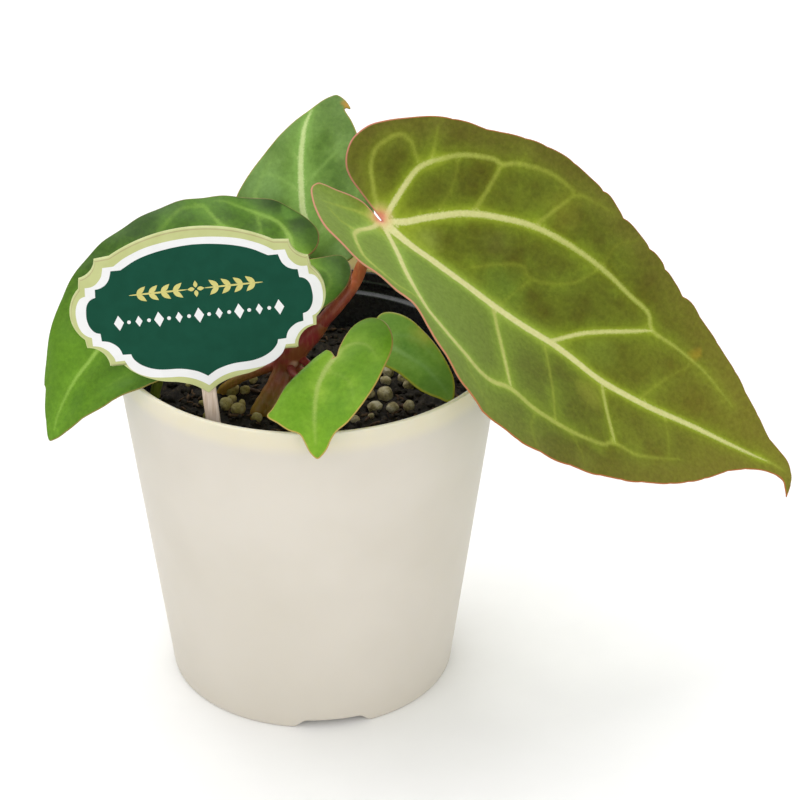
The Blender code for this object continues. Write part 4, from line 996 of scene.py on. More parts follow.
# %% Young green skins
LOOKS["small_front"] = leaf_material("satin_young_green_leaf", dict(
    dark="#4e8214", mid="#6c981c", light="#8ab034", outer="#7aa22c", glow="#86ac36", near_glow="#9aba48",
    core="#c8cf8e", strand="#a4b858", rim="#c09a5a", far_rim="#bc9a50", under="#8fae50"),
    rough=0.36, shine=0.14, sheen=0.02, patch_mm=8.0, deep=0.3, velvet=0.3, patches=[
        (21, -3, 7, "#5c8c16", 0.4), (26, 0, 5, "#6c9c18", 0.4), (2, 1, 5, "#6c9824", 0.35),
        # The patch at (9, -9) is painted shade on the edge that rolls under.
        (9, -9, 6, "#527e18", 0.4)])
LOOKS["small_right"] = leaf_material("satin_deep_green_leaf", dict(
    dark="#5e963e", mid="#7ab04c", light="#94c460", outer="#98be48", glow="#a0cc6c", near_glow="#b2d882",
    core="#c0de98", strand="#a8d07c", rim="#bcb838", far_rim="#c6b636", under="#77995a"),
    rough=0.36, shine=0.26, sheen=0.02, patch_mm=7.0, deep=0.3, velvet=0.3, rim_mm=0.9, patches=[
        (8, 8.4, 5, "#ccd05c", 0.7), (21, 0, 8, "#487430", 0.5)])

# %% [markdown]
# ## The five blades
#
# Form, drawing, mesh and skin now come together. Each blade stands for its plain solid and wears its own
# skin.

# %% Blades
BLADES = {key: make_blade(key, LOOKS[key]) for key in FORMS}
print("blades:", [blade.name for blade in BLADES.values()])

# %% [markdown]
# ## Petioles
#
# Each leaf hangs on a petiole, a firm round stem that swells a little where it meets the blade. It grows
# out of the crown, so its foot is sunk in there. A tube swept along a smooth path is the right tool: its
# radius changes along the way, and many sides keep its outline round.

# %% Tube maker
def band(low, high, count):
    """The quads between two rings of points, from the first index of each."""
    return [(low + i, low + (i + 1) % count, high + (i + 1) % count, high + i) for i in range(count)]


def tube(path, radii, sides=20):
    """Points and faces of a closed tube along a path, with a radius at each point and round ends."""
    path = np.asarray(path, float)
    along = np.gradient(path, axis=0)
    along /= np.linalg.norm(along, axis=1)[:, None]
    side = np.cross(along[0], (0.3, 0.9, 0.2))
    turns = np.linspace(0, 2 * math.pi, sides, endpoint=False)
    rings = []
    for place, forward, radius in zip(path, along, radii):
        side = side - forward * (side @ forward)
        side /= np.linalg.norm(side)
        other = np.cross(forward, side)
        rings.append(place + radius * (np.cos(turns)[:, None] * side + np.sin(turns)[:, None] * other))
    points = np.concatenate(rings + [path[:1], path[-1:]])
    first, last = len(points) - 2, len(points) - 1
    faces = []
    for k in range(len(path) - 1):
        faces += band(k * sides, (k + 1) * sides, sides)
    base = (len(path) - 1) * sides
    for i in range(sides):
        j = (i + 1) % sides
        faces += [(first, j, i), (last, base + i, base + j)]
    return points, faces


def rounded_ends(path, radii, count=4):
    """Adds a few shrinking rings to both ends, so that the tube ends in a dome."""
    path, radii = np.asarray(path, float), np.asarray(radii, float)
    out_a = (path[0] - path[1]) / np.linalg.norm(path[0] - path[1])
    out_b = (path[-1] - path[-2]) / np.linalg.norm(path[-1] - path[-2])
    turns = np.linspace(0, math.pi / 2, count + 1)[1:-1]
    start = [path[0] + out_a * radii[0] * 0.8 * math.sin(t) for t in turns][::-1]
    end = [path[-1] + out_b * radii[-1] * 0.8 * math.sin(t) for t in turns]
    path = np.concatenate([start, path, end])
    radii = np.concatenate([[radii[0] * math.cos(t) for t in turns][::-1], radii,
                            [radii[-1] * math.cos(t) for t in turns]])
    return path, radii


print("a tube of 3 rings has", len(tube([(0, 0, 0), (0, 0, 1), (0, 0, 2)], (1, 1, 1))[1]), "faces")

# %% [markdown]
# ### The skin of petioles, roots and shoot
#
# All three are smooth living stems, green below a thin red sap layer that deepens towards the light. A tint
# that follows height gives that, and noise drawn out along Z gives the fine lengthwise vessels. The skin is
# fairly glossy.

# %% Petiole and stem materials
def stem_material(name, low, high, spot, rough, rise_mm, scar=None):
    """A smooth living stem: it reddens with height, with fine lengthwise streaks and a few dull patches."""
    m = new_material(name)
    where = (add(m, "TexCoord"), "Object")
    height = (add(m, "SeparateXYZ", {"Vector": where}), "Z")
    rise = add(m, "MapRange", {"Value": height, "From Min": rise_mm[0] * MM, "From Max": rise_mm[1] * MM},
               **SMOOTH)
    skin_tint = add(m, "Mix", {"Factor": rise, "A": low, "B": high}, **COLOUR)
    # Vessels run lengthwise about 0.7 mm apart.
    long_space = add(m, "Mapping", {"Vector": where, "Scale": (1400.0, 1400.0, 240.0)})
    streaks = add(m, "TexNoise", {"Vector": long_space, "Scale": 1.0, "Detail": 3.0})
    share = add(m, "MapRange", {"Value": streaks, "From Min": 0.42, "From Max": 0.75,
                                "To Max": 0.4}, **SMOOTH)
    skin_tint = add(m, "Mix", {"Factor": share, "A": skin_tint, "B": spot}, **COLOUR)
    patches = add(m, "TexNoise", {"Vector": where, "Scale": 160.0, "Detail": 2.0})
    share = add(m, "MapRange", {"Value": patches, "From Min": 0.45, "From Max": 0.7, "To Max": 0.5}, **SMOOTH)
    skin_tint = add(m, "Mix", {"Factor": share, "A": skin_tint, "B": low}, **COLOUR)
    if scar:
        # A pale corky scar where an old leaf fell off.
        away = add(m, "VectorMath", {0: where, 1: tuple(c * MM for c in scar)}, operation="DISTANCE")
        share = add(m, "MapRange", {"Value": (away, "Value"), "From Min": 0.0017, "From Max": 0.0007,
                                    "To Max": 0.8}, **SMOOTH)
        skin_tint = add(m, "Mix", {"Factor": share, "A": skin_tint, "B": "#e0b89a"}, **COLOUR)
    bump = add(m, "Bump", {"Height": streaks, "Strength": 0.25, "Distance": 0.0003})
    skin = add(m, "BsdfPrincipled", {
        "Base Color": skin_tint, "Roughness": rough, "Normal": bump, "Specular IOR Level": 0.45,
        "Subsurface Weight": 0.1, "Subsurface Radius": (1.0, 0.4, 0.2), "Subsurface Scale": 0.001})
    add(m, "OutputMaterial", {"Surface": skin})
    return m


SCAR = (-4.2, -3.5, 96.9)
PETIOLE_SKIN = stem_material("smooth_petiole_skin", "#a23a3a", "#d2744a", "#e09c6c", 0.34, (104.0, 124.0))
ROOT_SKIN = stem_material("fibrous_root_skin", "#9c7a2c", "#b43e42", "#cc8866", 0.34, (86.0, 97.0), SCAR)
SHOOT_SKIN = stem_material("young_shoot_skin", "#8c9c34", "#a8b84c", "#bcc868", 0.4, (84.0, 104.0))
print("stem skins:", PETIOLE_SKIN.name, ROOT_SKIN.name, SHOOT_SKIN.name)

# %% [markdown]
# ### The petioles
#
# Each line gives the path in millimetres from the crown to just under the blade, the radius at its foot and
# at its top, and how much it swells at the joint. The last point comes from the leaf's form, so that it
# always meets the blade.

# %% Petioles
PETIOLES = {
    "large": ([(2.2, -0.7, 106.6), (4.6, -0.9, 109.8), (8.4, 0.0, 114.0), (11.1, 1.5, 116.9),
               (13.3, 3.4, 119.6), (15.0, 2.4, 124.8), (17.8, -0.6, 132.0)], 2.1, 1.5, 0.35),
    "left": ([(-2.4, 2.0, 102.4), (-1.6, 5.6, 108.0), (-0.6, 7.2, 115.0), (-0.8, 6.6, 121.0)], 1.5, 1.1, 0.4),
    "back": ([(-5.4, 1.6, 98.6), (-5.4, 10.0, 102.0), (-3.2, 19.0, 108.0), (-0.2, 24.2, 115.8)],
             1.4, 1.1, 0.4),
    "small_front": ([(-5.4, -1.6, 95.8), (-4.0, -9.0, 96.5), (-0.4, -20.0, 101.0), (4.6, -31.0, 110.0)],
                    1.2, 0.9, 0.3),
    "small_right": ([(-3.0, -1.2, 98.2), (3.0, -6.4, 96.0), (10.0, -11.0, 97.0), (16.6, -12.4, 103.0)],
                    1.2, 0.9, 0.3),
}
for key, (line, start, end, swell) in PETIOLES.items():
    joint = FORMS[key].place(1.2, 0.0, -0.12)[0]
    path = through([*line, joint], per_span=10)
    t = np.linspace(0, 1, len(path))
    knee = swell * np.exp(-(((1 - t) / 0.12) ** 2)) * (1 - np.clip((t - 0.97) / 0.05, 0, 1))
    radii = start + (end - start) * t + knee
    radii *= 1 + 0.02 * np.sin(t * 31)
    points, faces = tube(path, radii, 24)
    petiole = plain_object(key + "_petiole", points, faces, PETIOLE_SKIN)
    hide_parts("petiole_" + key)
    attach(petiole, "root")
print("petioles made:", len(PETIOLES))

# %% [markdown]
# ## The crown and its prop roots
#
# The short stem, called the crown, stands above the potting mix on thick prop roots. Roots and stem grow
# into each other with no seam. Separate tubes would show a crease there, so they are melted together with a
# voxel remesh and smoothed. The small rings and the knob of an old leaf's scar are made before the melt.

# %% Crown
CROWN_LINE = [(-7.6, 0.5, 91.5), (-6.6, 0.0, 95.0), (-3.2, 0.0, 101.2), (0.8, -0.4, 105.4),
              (3.2, -0.8, 108.2)]
CROWN_RADII = (2.2, 3.5, 3.9, 3.2, 2.5)
PROP_ROOTS = [
    ([(-7.6, -0.8, 95.5), (-9.8, -3.2, 91.0), (-12.6, -5.0, 86.8), (-14.4, -6.2, 83.6),
      (-15.2, -6.8, 79.5)], 1.9),
    ([(-5.8, -1.6, 94.6), (-7.2, -4.6, 90.0), (-9.4, -6.4, 86.0), (-10.6, -7.4, 83.0),
      (-11.0, -7.8, 79.5)], 1.6),
    ([(-8.4, 1.0, 94.5), (-13.0, 3.4, 91.4), (-19.4, 5.0, 88.0), (-24.2, 5.8, 84.0),
      (-25.6, 6.0, 79.5)], 1.3),
    ([(-5.6, 1.6, 94.6), (-3.4, 6.0, 90.0), (-1.0, 8.6, 84.5), (-0.4, 9.4, 79.5)], 1.7),
    ([(-5.0, 0.6, 94.0), (0.4, 0.6, 90.2), (4.6, 0.4, 84.6), (5.6, 0.2, 79.5)], 1.6),
]


def melted(name, tubes, voxel, material):
    """Tubes melted into one skin by a voxel remesh."""
    points, faces = [], []
    for more_points, more_faces in tubes:
        base = sum(len(p) for p in points)
        points.append(more_points)
        faces += [tuple(base + i for i in f) for f in more_faces]
    rough = plain_object(name + "_rough", np.concatenate(points), faces, material)
    remesh = rough.modifiers.new("melt", "REMESH")
    remesh.mode = "VOXEL"
    remesh.voxel_size = voxel * MM
    relax = rough.modifiers.new("relax", "SMOOTH")
    relax.iterations = 6
    relax.factor = 0.5
    bpy.context.view_layer.update()
    mesh = bpy.data.meshes.new_from_object(rough.evaluated_get(bpy.context.evaluated_depsgraph_get()))
    bpy.data.objects.remove(rough, do_unlink=True)
    mesh.name = name
    mesh.shade_smooth()
    item = bpy.data.objects.new(name, mesh)
    scene.collection.objects.link(item)
    return item


print("crown and", len(PROP_ROOTS), "prop roots drawn")

# %% [markdown]
# ### Melting the crown
#
# The stem is ringed where old leaves stood, so its radius ripples. Each root thickens towards its foot. A
# short knob carries the pale scar of a fallen leaf. A voxel of 0.42 mm is fine enough to keep all three.

# %% Crown melted
parts = []
path = through(CROWN_LINE, per_span=10)
t = np.linspace(0, 1, len(path))
radii = np.interp(t, np.linspace(0, 1, 5), CROWN_RADII) * (1 + 0.05 * np.sin(t * 24) ** 8)
parts.append(tube(*rounded_ends(path, radii), 28))
for line, radius in PROP_ROOTS:
    path = through(line, per_span=10)
    t = np.linspace(0, 1, len(path))
    parts.append(tube(*rounded_ends(path, radius * (1 + 0.3 * t**3) * (1 + 0.04 * np.sin(t * 37))), 18))
knob = np.array([(SCAR[0], SCAR[1] + 1.2, SCAR[2]), SCAR])
parts.append(tube(*rounded_ends(knob, (1.2, 0.9)), 14))
crown = melted("crown_with_prop_roots", parts, 0.42, ROOT_SKIN)
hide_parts("crown")
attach(crown, "root")
print("crown faces:", len(crown.data.polygons))

# %% [markdown]
# ## Potting mix and perlite
#
# The mix is dark, moist bark and peat with white perlite beads. Seen close, it is a bed of crumbs rather
# than a smooth surface. A fine height field makes the bed, and crumbs, bark chips and beads are half sunk
# into it, all by one seeded random draw, so the surface is the same every time the script runs.

# %% Height of the bed
SOIL_TOP, SOIL_MOUND, SOIL_EDGE = 82.5, 1.2, 46.1


def bed_height(x, y):
    """The low mound of the mix with its lumps, as in the solid."""
    lumps = 0.5 * np.sin(0.42 * x + 1.3) * np.sin(0.37 * y + 0.4) + 0.35 * np.sin(0.83 * x - 0.61 * y)
    return SOIL_TOP + SOIL_MOUND * (1 - (x * x + y * y) / 45.0**2) + lumps


def crumbly(x, y):
    """Crumb relief: several layers of bumps at unlike angles."""
    total = np.zeros_like(x)
    for k, size in enumerate((5.1, 2.9, 1.7, 1.1)):
        turn = 0.9 * k + 0.4
        a = (x * math.cos(turn) + y * math.sin(turn)) * 2 * math.pi / size
        b = (y * math.cos(turn) - x * math.sin(turn)) * 2 * math.pi / (size * 1.13)
        total += size * 0.09 * np.sin(a + 1.7 * np.sin(b * 0.37)) * np.sin(b + 1.3 * np.sin(a * 0.41))
    return total


print("bed is %.1f mm high in its middle" % float(bed_height(np.array(0.0), np.array(0.0))))

# %% [markdown]
# ### Moist bark and peat
#
# Wet peat is nearly black and has almost no gloss, and crumbs of bark in it are brown. Two noises give
# that, one for clods and one for flecks. The same clods drive the bump.

# %% Peat material
peat = new_material("moist_bark_and_peat")
# Moist bark and peat: nearly black, with brown crumbs of 1 to 2 mm and a faint wet gloss.
where = (add(peat, "TexCoord"), "Object")
clods = add(peat, "TexNoise", {"Vector": where, "Scale": 420.0, "Detail": 6.0, "Roughness": 0.75})
dirt = add(peat, "ValToRGB", {"Fac": clods}, stops=[(0.4, "#1d1a16"), (0.58, "#322b22"), (0.72, "#5a4a3a")])
flecks = add(peat, "TexVoronoi", {"Vector": where, "Scale": 620.0})
share = add(peat, "MapRange", {"Value": flecks, "From Min": 0.16, "From Max": 0.06, "To Max": 0.5}, **SMOOTH)
dirt = add(peat, "Mix", {"Factor": share, "A": dirt, "B": "#6a5138"}, **COLOUR)
bump = add(peat, "Bump", {"Height": clods, "Strength": 0.8, "Distance": 0.0008})
skin = add(peat, "BsdfPrincipled", {"Base Color": dirt, "Roughness": 0.85, "Normal": bump,
                                    "Specular IOR Level": 0.3})
add(peat, "OutputMaterial", {"Surface": skin})
print(peat.name, "has", len(peat.node_tree.nodes), "nodes")

# %% [markdown]
# ### The bed
#
# A disc of rings and spokes takes its heights from the two functions above, and a plain tapered body closes
# it below and fills the black pot. A displaced plane would have to be cut to a circle.

# %% Soil surface
rings, spokes = 62, 200
CRUMB_DEPTH, BODY_RADIUS, BODY_FLOOR = 0.5, 36.4, 6.6
points, faces = [(0.0, 0.0)], []
for k in range(1, rings + 1):
    turns = np.linspace(0, 2 * math.pi, spokes, endpoint=False) + (k % 2) * math.pi / spokes
    radius = SOIL_EDGE * k / rings
    points += list(zip(radius * np.cos(turns), radius * np.sin(turns)))
xy = np.array(points)
z = bed_height(*xy.T) + crumbly(*xy.T) - CRUMB_DEPTH
points = np.column_stack([xy, z])
faces = [(0, 1 + i, 1 + (i + 1) % spokes) for i in range(spokes)]
for k in range(1, rings):
    low, high = 1 + (k - 1) * spokes, 1 + k * spokes
    for i in range(spokes):
        j = (i + 1) % spokes
        faces.append((low + i, high + i, high + j, low + j))
wall = 1 + (rings - 1) * spokes
floor_ring = len(points)
foot = np.column_stack([xy[wall : wall + spokes] * (BODY_RADIUS / SOIL_EDGE), np.full(spokes, BODY_FLOOR)])
points = np.concatenate([points, foot, [(0.0, 0.0, BODY_FLOOR)]])
for i in range(spokes):
    j = (i + 1) % spokes
    faces.append((wall + i, floor_ring + i, floor_ring + j, wall + j))
    faces.append((len(points) - 1, floor_ring + j, floor_ring + i))
soil = plain_object("potting_mix_bed", points, faces, peat)
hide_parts("soil")
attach(soil, "root")
print("soil faces:", len(faces))

# %% [markdown]
# ### Perlite, crumbs and bark
#
# Perlite is volcanic glass that was popped by heat, so each bead is a light ball with pits. The beads that
# show in front have their own places, and the rest are drawn at random. Each bead starts as an icosphere
# whose points are pushed in and out by a sum of waves.

# %% Loose bits of the mix
def lump(shape_points, centre, size, flat, draw, rough=0.22):
    """A rough pebble: a ball's points pushed in and out, squashed, turned and moved."""
    phase = [draw.uniform(0, 6.28) for _ in range(6)]
    x, y, z = shape_points.T
    push = np.sin(3.1 * x + phase[0]) * np.sin(2.7 * y + phase[1]) + 0.6 * np.sin(5.3 * z + phase[2])
    push += 0.5 * np.sin(7.1 * x + phase[3]) * np.sin(6.3 * z + phase[4])
    ball = shape_points * (1 + rough * push)[:, None] * np.array((1.0, draw.uniform(0.75, 1.0), flat)) * size
    turn = np.array(Matrix.Rotation(draw.uniform(0, 6.28), 3, Vector((draw.uniform(-0.4, 0.4),
                                                                       draw.uniform(-0.4, 0.4), 1))))
    return ball @ turn.T + centre


def ball(subdivisions):
    """Points and triangles of a ball of radius 1."""
    shape = bmesh.new()
    bmesh.ops.create_icosphere(shape, subdivisions=subdivisions, radius=1.0)
    points = np.array([tuple(v.co) for v in shape.verts])
    faces = np.array([[v.index for v in f.verts] for f in shape.faces])
    shape.free()
    return points, faces


def joined(name, bits, faces_of_one, material):
    """Many bits that share one set of faces, as one object."""
    count = len(bits[0])
    faces = np.concatenate([faces_of_one + i * count for i in range(len(bits))])
    item = plain_object(name, np.concatenate(bits), faces.tolist(), material)
    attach(item, "root")
    return item


print("a ball of 2 subdivisions has", len(ball(2)[1]), "triangles")

# %% Places of the perlite beads
BEAD_COUNT, CRUMB_COUNT, CHIP_COUNT = 50, 950, 260
PERLITE_SEEN = [
    (-21.9, 6.0, 2.1), (-18.2, 4.8, 1.7), (-23.2, -3.8, 2.1), (-19.9, -6.2, 2.1), (-14.6, -11.4, 1.6),
    (-21.8, 0.4, 1.5), (-28.4, -8.6, 1.5), (22.4, 14.6, 2.1), (21.6, 9.6, 1.7), (21.2, 2.4, 2.4),
    (26.6, 11.2, 1.7), (28.2, 7.6, 1.9),
    (18.2, -4.8, 2.1), (23.1, -6.3, 2.0), (27.7, -4.8, 1.8), (16.8, 1.4, 1.6), (12.5, -11.5, 1.4),
    (-29.2, 10.6, 1.4),
]
draw = random.Random(11)
keep_out = [(-15.2, -6.8, 3.6), (-11.0, -7.8, 3.2), (-25.6, 6.0, 2.6), (-0.4, 9.4, 3.0), (5.6, 0.2, 3.0),
            (-24.4, -33.6, 3.2), (-44.0, 0.5, 2.6)]
beads = list(PERLITE_SEEN)
while len(beads) < BEAD_COUNT:
    reach, turn = 44.0 * math.sqrt(draw.random()), draw.uniform(0, 6.28)
    x, y, size = reach * math.cos(turn), reach * math.sin(turn), draw.uniform(0.5, 1.5)
    if min(math.hypot(x - a, y - b) - c for a, b, c in beads + keep_out) > size * 0.8:
        beads.append((x, y, size))
ball_points, ball_faces = ball(3)
bits = []
for x, y, size in beads:
    z = float(bed_height(np.array(x), np.array(y))) + 0.35 * size
    bits.append(lump(ball_points, (x, y, z), size, 0.85, draw, 0.07))
print(len(beads), "beads, of which", len(PERLITE_SEEN), "have their own places")

# %% [markdown]
# ### Popped glass, crumbs and chips
#
# Dry perlite is white. It soaks up the brown of wet peat, so it is stained in patches and in its pits, and
# the beads on the left half of the pot are tinted yellow. Crumbs are rough balls of the bed's own peat. Bark
# chips are the same balls drawn long and thin, with a fibrous grain. A bit near the pot's wall is shrunk
# until it clears it.

# %% Perlite material
perlite = new_material("popped_perlite_glass")
# Its stains are drawn in patches of 3 mm, and its pits are 0.7 mm wide.
where = (add(perlite, "TexCoord"), "Object")
stain = add(perlite, "TexNoise", {"Vector": where, "Scale": 330.0, "Detail": 4.0})
bead = add(perlite, "ValToRGB", {"Fac": stain}, stops=[(0.34, "#74683a"), (0.5, "#aca076"),
                                                       (0.68, "#cfc8ac")])
side = add(perlite, "MapRange", {"Value": (add(perlite, "SeparateXYZ", {"Vector": where}), "X"),
                                 "From Min": 0.0, "From Max": -0.015, "To Max": 0.6}, **SMOOTH)
bead = add(perlite, "Mix", {"Factor": side, "A": bead, "B": "#a3923e"}, **COLOUR)
pits = add(perlite, "TexVoronoi", {"Vector": where, "Scale": 1500.0})
share = add(perlite, "MapRange", {"Value": pits, "From Min": 0.3, "From Max": 0.1, "To Max": 0.5}, **SMOOTH)
bead = add(perlite, "Mix", {"Factor": share, "A": bead, "B": "#4b4430"}, **COLOUR)
bump = add(perlite, "Bump", {"Height": pits, "Strength": 0.5, "Distance": 0.0004})
skin = add(perlite, "BsdfPrincipled", {"Base Color": bead, "Roughness": 0.8, "Normal": bump})
add(perlite, "OutputMaterial", {"Surface": skin})
joined("perlite_beads", bits, ball_faces, perlite)
print(perlite.name, "has", len(perlite.node_tree.nodes), "nodes")

# %% Peat crumbs
CLEAR_EDGE = 45.9  # no bit may reach through the black pot
crumb_points, crumb_faces = ball(2)
crumbs = []
for _ in range(CRUMB_COUNT):
    reach, turn = 45.0 * math.sqrt(draw.random()), draw.uniform(0, 6.28)
    x, y, size = reach * math.cos(turn), reach * math.sin(turn), draw.uniform(0.35, 1.25) ** 1.3
    z = float(bed_height(np.array(x), np.array(y))) - 0.15
    size = min(size, CLEAR_EDGE - reach + 0.2)
    crumbs.append(lump(crumb_points, (x, y, z), size, draw.uniform(0.5, 0.8), draw, 0.2))
joined("peat_crumbs", crumbs, crumb_faces, peat)
print(len(crumbs), "crumbs")

# %% Bark chips
bark = new_material("shredded_bark")
# Shredded bark: thin brown chips with a fibrous grain about 1 mm wide.
fibres = add(bark, "TexNoise", {"Vector": (add(bark, "TexCoord"), "Object"), "Scale": 900.0, "Detail": 3.0})
brown = add(bark, "ValToRGB", {"Fac": fibres}, stops=[(0.35, "#231a12"), (0.7, "#6b5036")])
skin = add(bark, "BsdfPrincipled", {"Base Color": brown, "Roughness": 0.8, "Specular IOR Level": 0.3})
add(bark, "OutputMaterial", {"Surface": skin})
chips = []
for _ in range(CHIP_COUNT):
    reach, turn = 44.5 * math.sqrt(draw.random()), draw.uniform(0, 6.28)
    x, y, size = reach * math.cos(turn), reach * math.sin(turn), draw.uniform(0.5, 1.5)
    z = float(bed_height(np.array(x), np.array(y))) + 0.05
    stretched = crumb_points * np.array((1.6, 0.5, 0.4))
    chips.append(lump(stretched, (x, y, z), min(size, (CLEAR_EDGE - reach) / 1.7 + 0.15), 0.9, draw, 0.12))
joined("bark_chips", chips, crumb_faces, bark)
print("loose bits:", len(beads), "beads,", len(crumbs), "crumbs,", len(chips), "chips")

# %% [markdown]
# ## The pots
#
# The outer pot is moulded from cream polypropylene, a plastic that lets a little light through. A band
# under its rim, where no black pot stands behind it, is painted lighter and warmer for the light that comes
# through there. Both pots are turned forms: a profile is drawn once and swept round the axis, with small
# radii at every edge, because a moulded edge is never quite sharp and its highlight shows it.

# %% Lathe
def lathe(profile, segments, name, material):
    """Sweeps a closed profile of (radius, height) points round the Z axis."""
    turns = np.linspace(0, 2 * math.pi, segments, endpoint=False)
    points, rows = [], []
    for radius, height in profile:
        start = len(points)
        if radius == 0:
            points.append((0.0, 0.0, height))
            rows.append([start] * segments)
        else:
            points += [(radius * math.cos(t), radius * math.sin(t), height) for t in turns]
            rows.append(list(range(start, start + segments)))
    faces = []
    for low, high in zip(rows, rows[1:]):
        for i in range(segments):
            j = (i + 1) % segments
            corners = list(dict.fromkeys((low[i], low[j], high[j], high[i])))
            if len(corners) > 2:
                faces.append(tuple(corners))
    return plain_object(name, points, faces, material)


def fillet(corner, before, after, radius, steps=5):
    """Replaces a profile's corner with a small arc."""
    corner, before, after = (np.array(p, float) for p in (corner, before, after))
    a = (before - corner) / np.linalg.norm(before - corner)
    b = (after - corner) / np.linalg.norm(after - corner)
    start, end = corner + a * radius, corner + b * radius
    s = np.linspace(0, 1, steps)[:, None]
    return [tuple(p) for p in (1 - s) ** 2 * start + 2 * s * (1 - s) * corner + s**2 * end]


def filleted(profile, radii):
    """A profile with an arc at each inner corner that has a radius."""
    result = [profile[0]]
    for i in range(1, len(profile) - 1):
        if radii[i]:
            result += fillet(profile[i], profile[i - 1], profile[i + 1], radii[i])
        else:
            result.append(profile[i])
    return result + [profile[-1]]


print("a small radius becomes", len(fillet((0, 0), (1, 0), (0, 1), 0.2)), "points")

# %% [markdown]
# ### Cream polypropylene
#
# Moulded polypropylene has a satin skin with a very fine orange-peel, and its index of refraction is 1.49.
# Light soaks in a little, and above the inner pot's shoulder the subsurface share rises. A lighter, warmer
# band 6 mm wide under the rim is painted light for what comes through the wall there, and painted shade
# darkens the wall towards its foot. A few darker specks are moulded in.

# %% Cream pot material
BAND_LOW = 0.0955
cream = new_material("moulded_cream_polypropylene")
# Satin to the eye, with a soft broad highlight and a painted warm edge. Heights are in metres.
where = (add(cream, "TexCoord"), "Object")
height = (add(cream, "SeparateXYZ", {"Vector": where}), "Z")
cloud = add(cream, "TexNoise", {"Vector": where, "Scale": 26.0, "Detail": 3.0, "Roughness": 0.5})
shade = add(cream, "ValToRGB", {"Fac": cloud}, stops=[(0.35, "#cfc8bb"), (0.65, "#d5cec2")])
# Painted shade: the wall darkens towards its foot.
share = add(cream, "MapRange", {"Value": height, "From Min": 0.09, "From Max": 0.0, "To Max": 0.35}, **SMOOTH)
shade = add(cream, "Mix", {"Factor": share, "A": shade, "B": "#cbc4b6"}, **COLOUR)
# Painted light: a lighter, warmer band under the rim stands in for light through the thin wall.
share = add(cream, "MapRange", {"Value": height, "From Min": BAND_LOW, "From Max": 0.1, "To Max": 0.4},
            **SMOOTH)
shade = add(cream, "Mix", {"Factor": share, "A": shade, "B": "#eadebc"}, **COLOUR)
# A few specks of 0.4 mm are moulded in.
specks = add(cream, "TexVoronoi", {"Vector": where, "Scale": 62.0, "Randomness": 1.0})
share = add(cream, "MapRange", {"Value": specks, "From Min": 0.02, "From Max": 0.011,
                                "To Max": 0.5}, **SMOOTH)
shade = add(cream, "Mix", {"Factor": share, "A": shade, "B": "#a9977c"}, **COLOUR)
peel = add(cream, "TexNoise", {"Vector": where, "Scale": 1300.0, "Detail": 2.0})
bump = add(cream, "Bump", {"Height": peel, "Strength": 0.06, "Distance": 0.0002})
through_light = add(cream, "MapRange", {"Value": height, "From Min": BAND_LOW, "From Max": 0.101,
                                        "To Min": 0.15, "To Max": 0.9}, **SMOOTH)
skin = add(cream, "BsdfPrincipled", {
    "Base Color": shade, "Roughness": 0.45, "Normal": bump, "IOR": 1.49, "Specular IOR Level": 0.35,
    "Subsurface Weight": through_light, "Subsurface Radius": (1.0, 0.85, 0.6), "Subsurface Scale": 0.004})
add(cream, "OutputMaterial", {"Surface": skin})
print(cream.name, "has", len(cream.node_tree.nodes), "nodes")

# %% [markdown]
# ### Black polypropylene
#
# The inner pot is thin black sheet that was formed over a mould. It is glossy, and its soft ripples, 10 mm
# long, break up the highlight. Fine dust makes the gloss a little uneven.

# %% Black pot material
black = new_material("formed_black_polypropylene")
# The dust lies in flecks of 1.4 mm.
where = (add(black, "TexCoord"), "Object")
dust = add(black, "TexNoise", {"Vector": where, "Scale": 700.0, "Detail": 4.0})
sheet = add(black, "ValToRGB", {"Fac": dust}, stops=[(0.42, "#232428"), (0.8, "#2f3034")])
ripple = add(black, "TexNoise", {"Vector": where, "Scale": 90.0, "Detail": 2.0})
bump = add(black, "Bump", {"Height": ripple, "Strength": 0.25, "Distance": 0.001})
gloss = add(black, "MapRange", {"Value": dust, "From Min": 0.3, "From Max": 0.7, "To Min": 0.22,
                                "To Max": 0.32})
skin = add(black, "BsdfPrincipled", {"Base Color": sheet, "Roughness": gloss, "Normal": bump, "IOR": 1.49})
add(black, "OutputMaterial", {"Surface": skin})
print(black.name, "has", len(black.node_tree.nodes), "nodes")

# %% [markdown]
# ### The outer pot
#
# The profile runs from the middle of the base, out under the foot ring, up the side and back down the
# inside. Three drain notches are lifted into the foot ring afterwards, by moving the points that lie there.
# Cutting them out with a boolean would leave long thin faces round the foot.

# %% Outer pot
POT_HEIGHT, RIM_RADIUS, BASE_RADIUS, WALL, FOOT = 104.0, 54.0, 40.5, 1.3, 3.0


def pot_radius(z):
    """Outer radius of the tapered wall at a height."""
    return BASE_RADIUS + (RIM_RADIUS - BASE_RADIUS) * z / POT_HEIGHT


side_rows = [(pot_radius(z), z) for z in (1.2, 2.4, 4.0, 8.0, 30.0, 60.0, 90.0, 97.0)]
profile = [(0.0, 0.0), (8.0, 0.0), (8.0, FOOT), (38.1, FOOT), (38.1, 0.0), (BASE_RADIUS, 0.0), *side_rows,
           (RIM_RADIUS - 0.02, POT_HEIGHT), (RIM_RADIUS - WALL, POT_HEIGHT), (pot_radius(97.0) - WALL, 97.0),
           (pot_radius(4.5) - WALL, 4.5), (0.0, 4.5)]
radii = [0, 0.4, 0.6, 0.8, 0.4, 0.9] + [0] * len(side_rows) + [0.55, 0.55, 0, 1.2, 0]
pot = lathe(filleted(profile, radii), 240, "cream_outer_pot", cream)
print("outer pot:", len(pot.data.polygons), "faces")

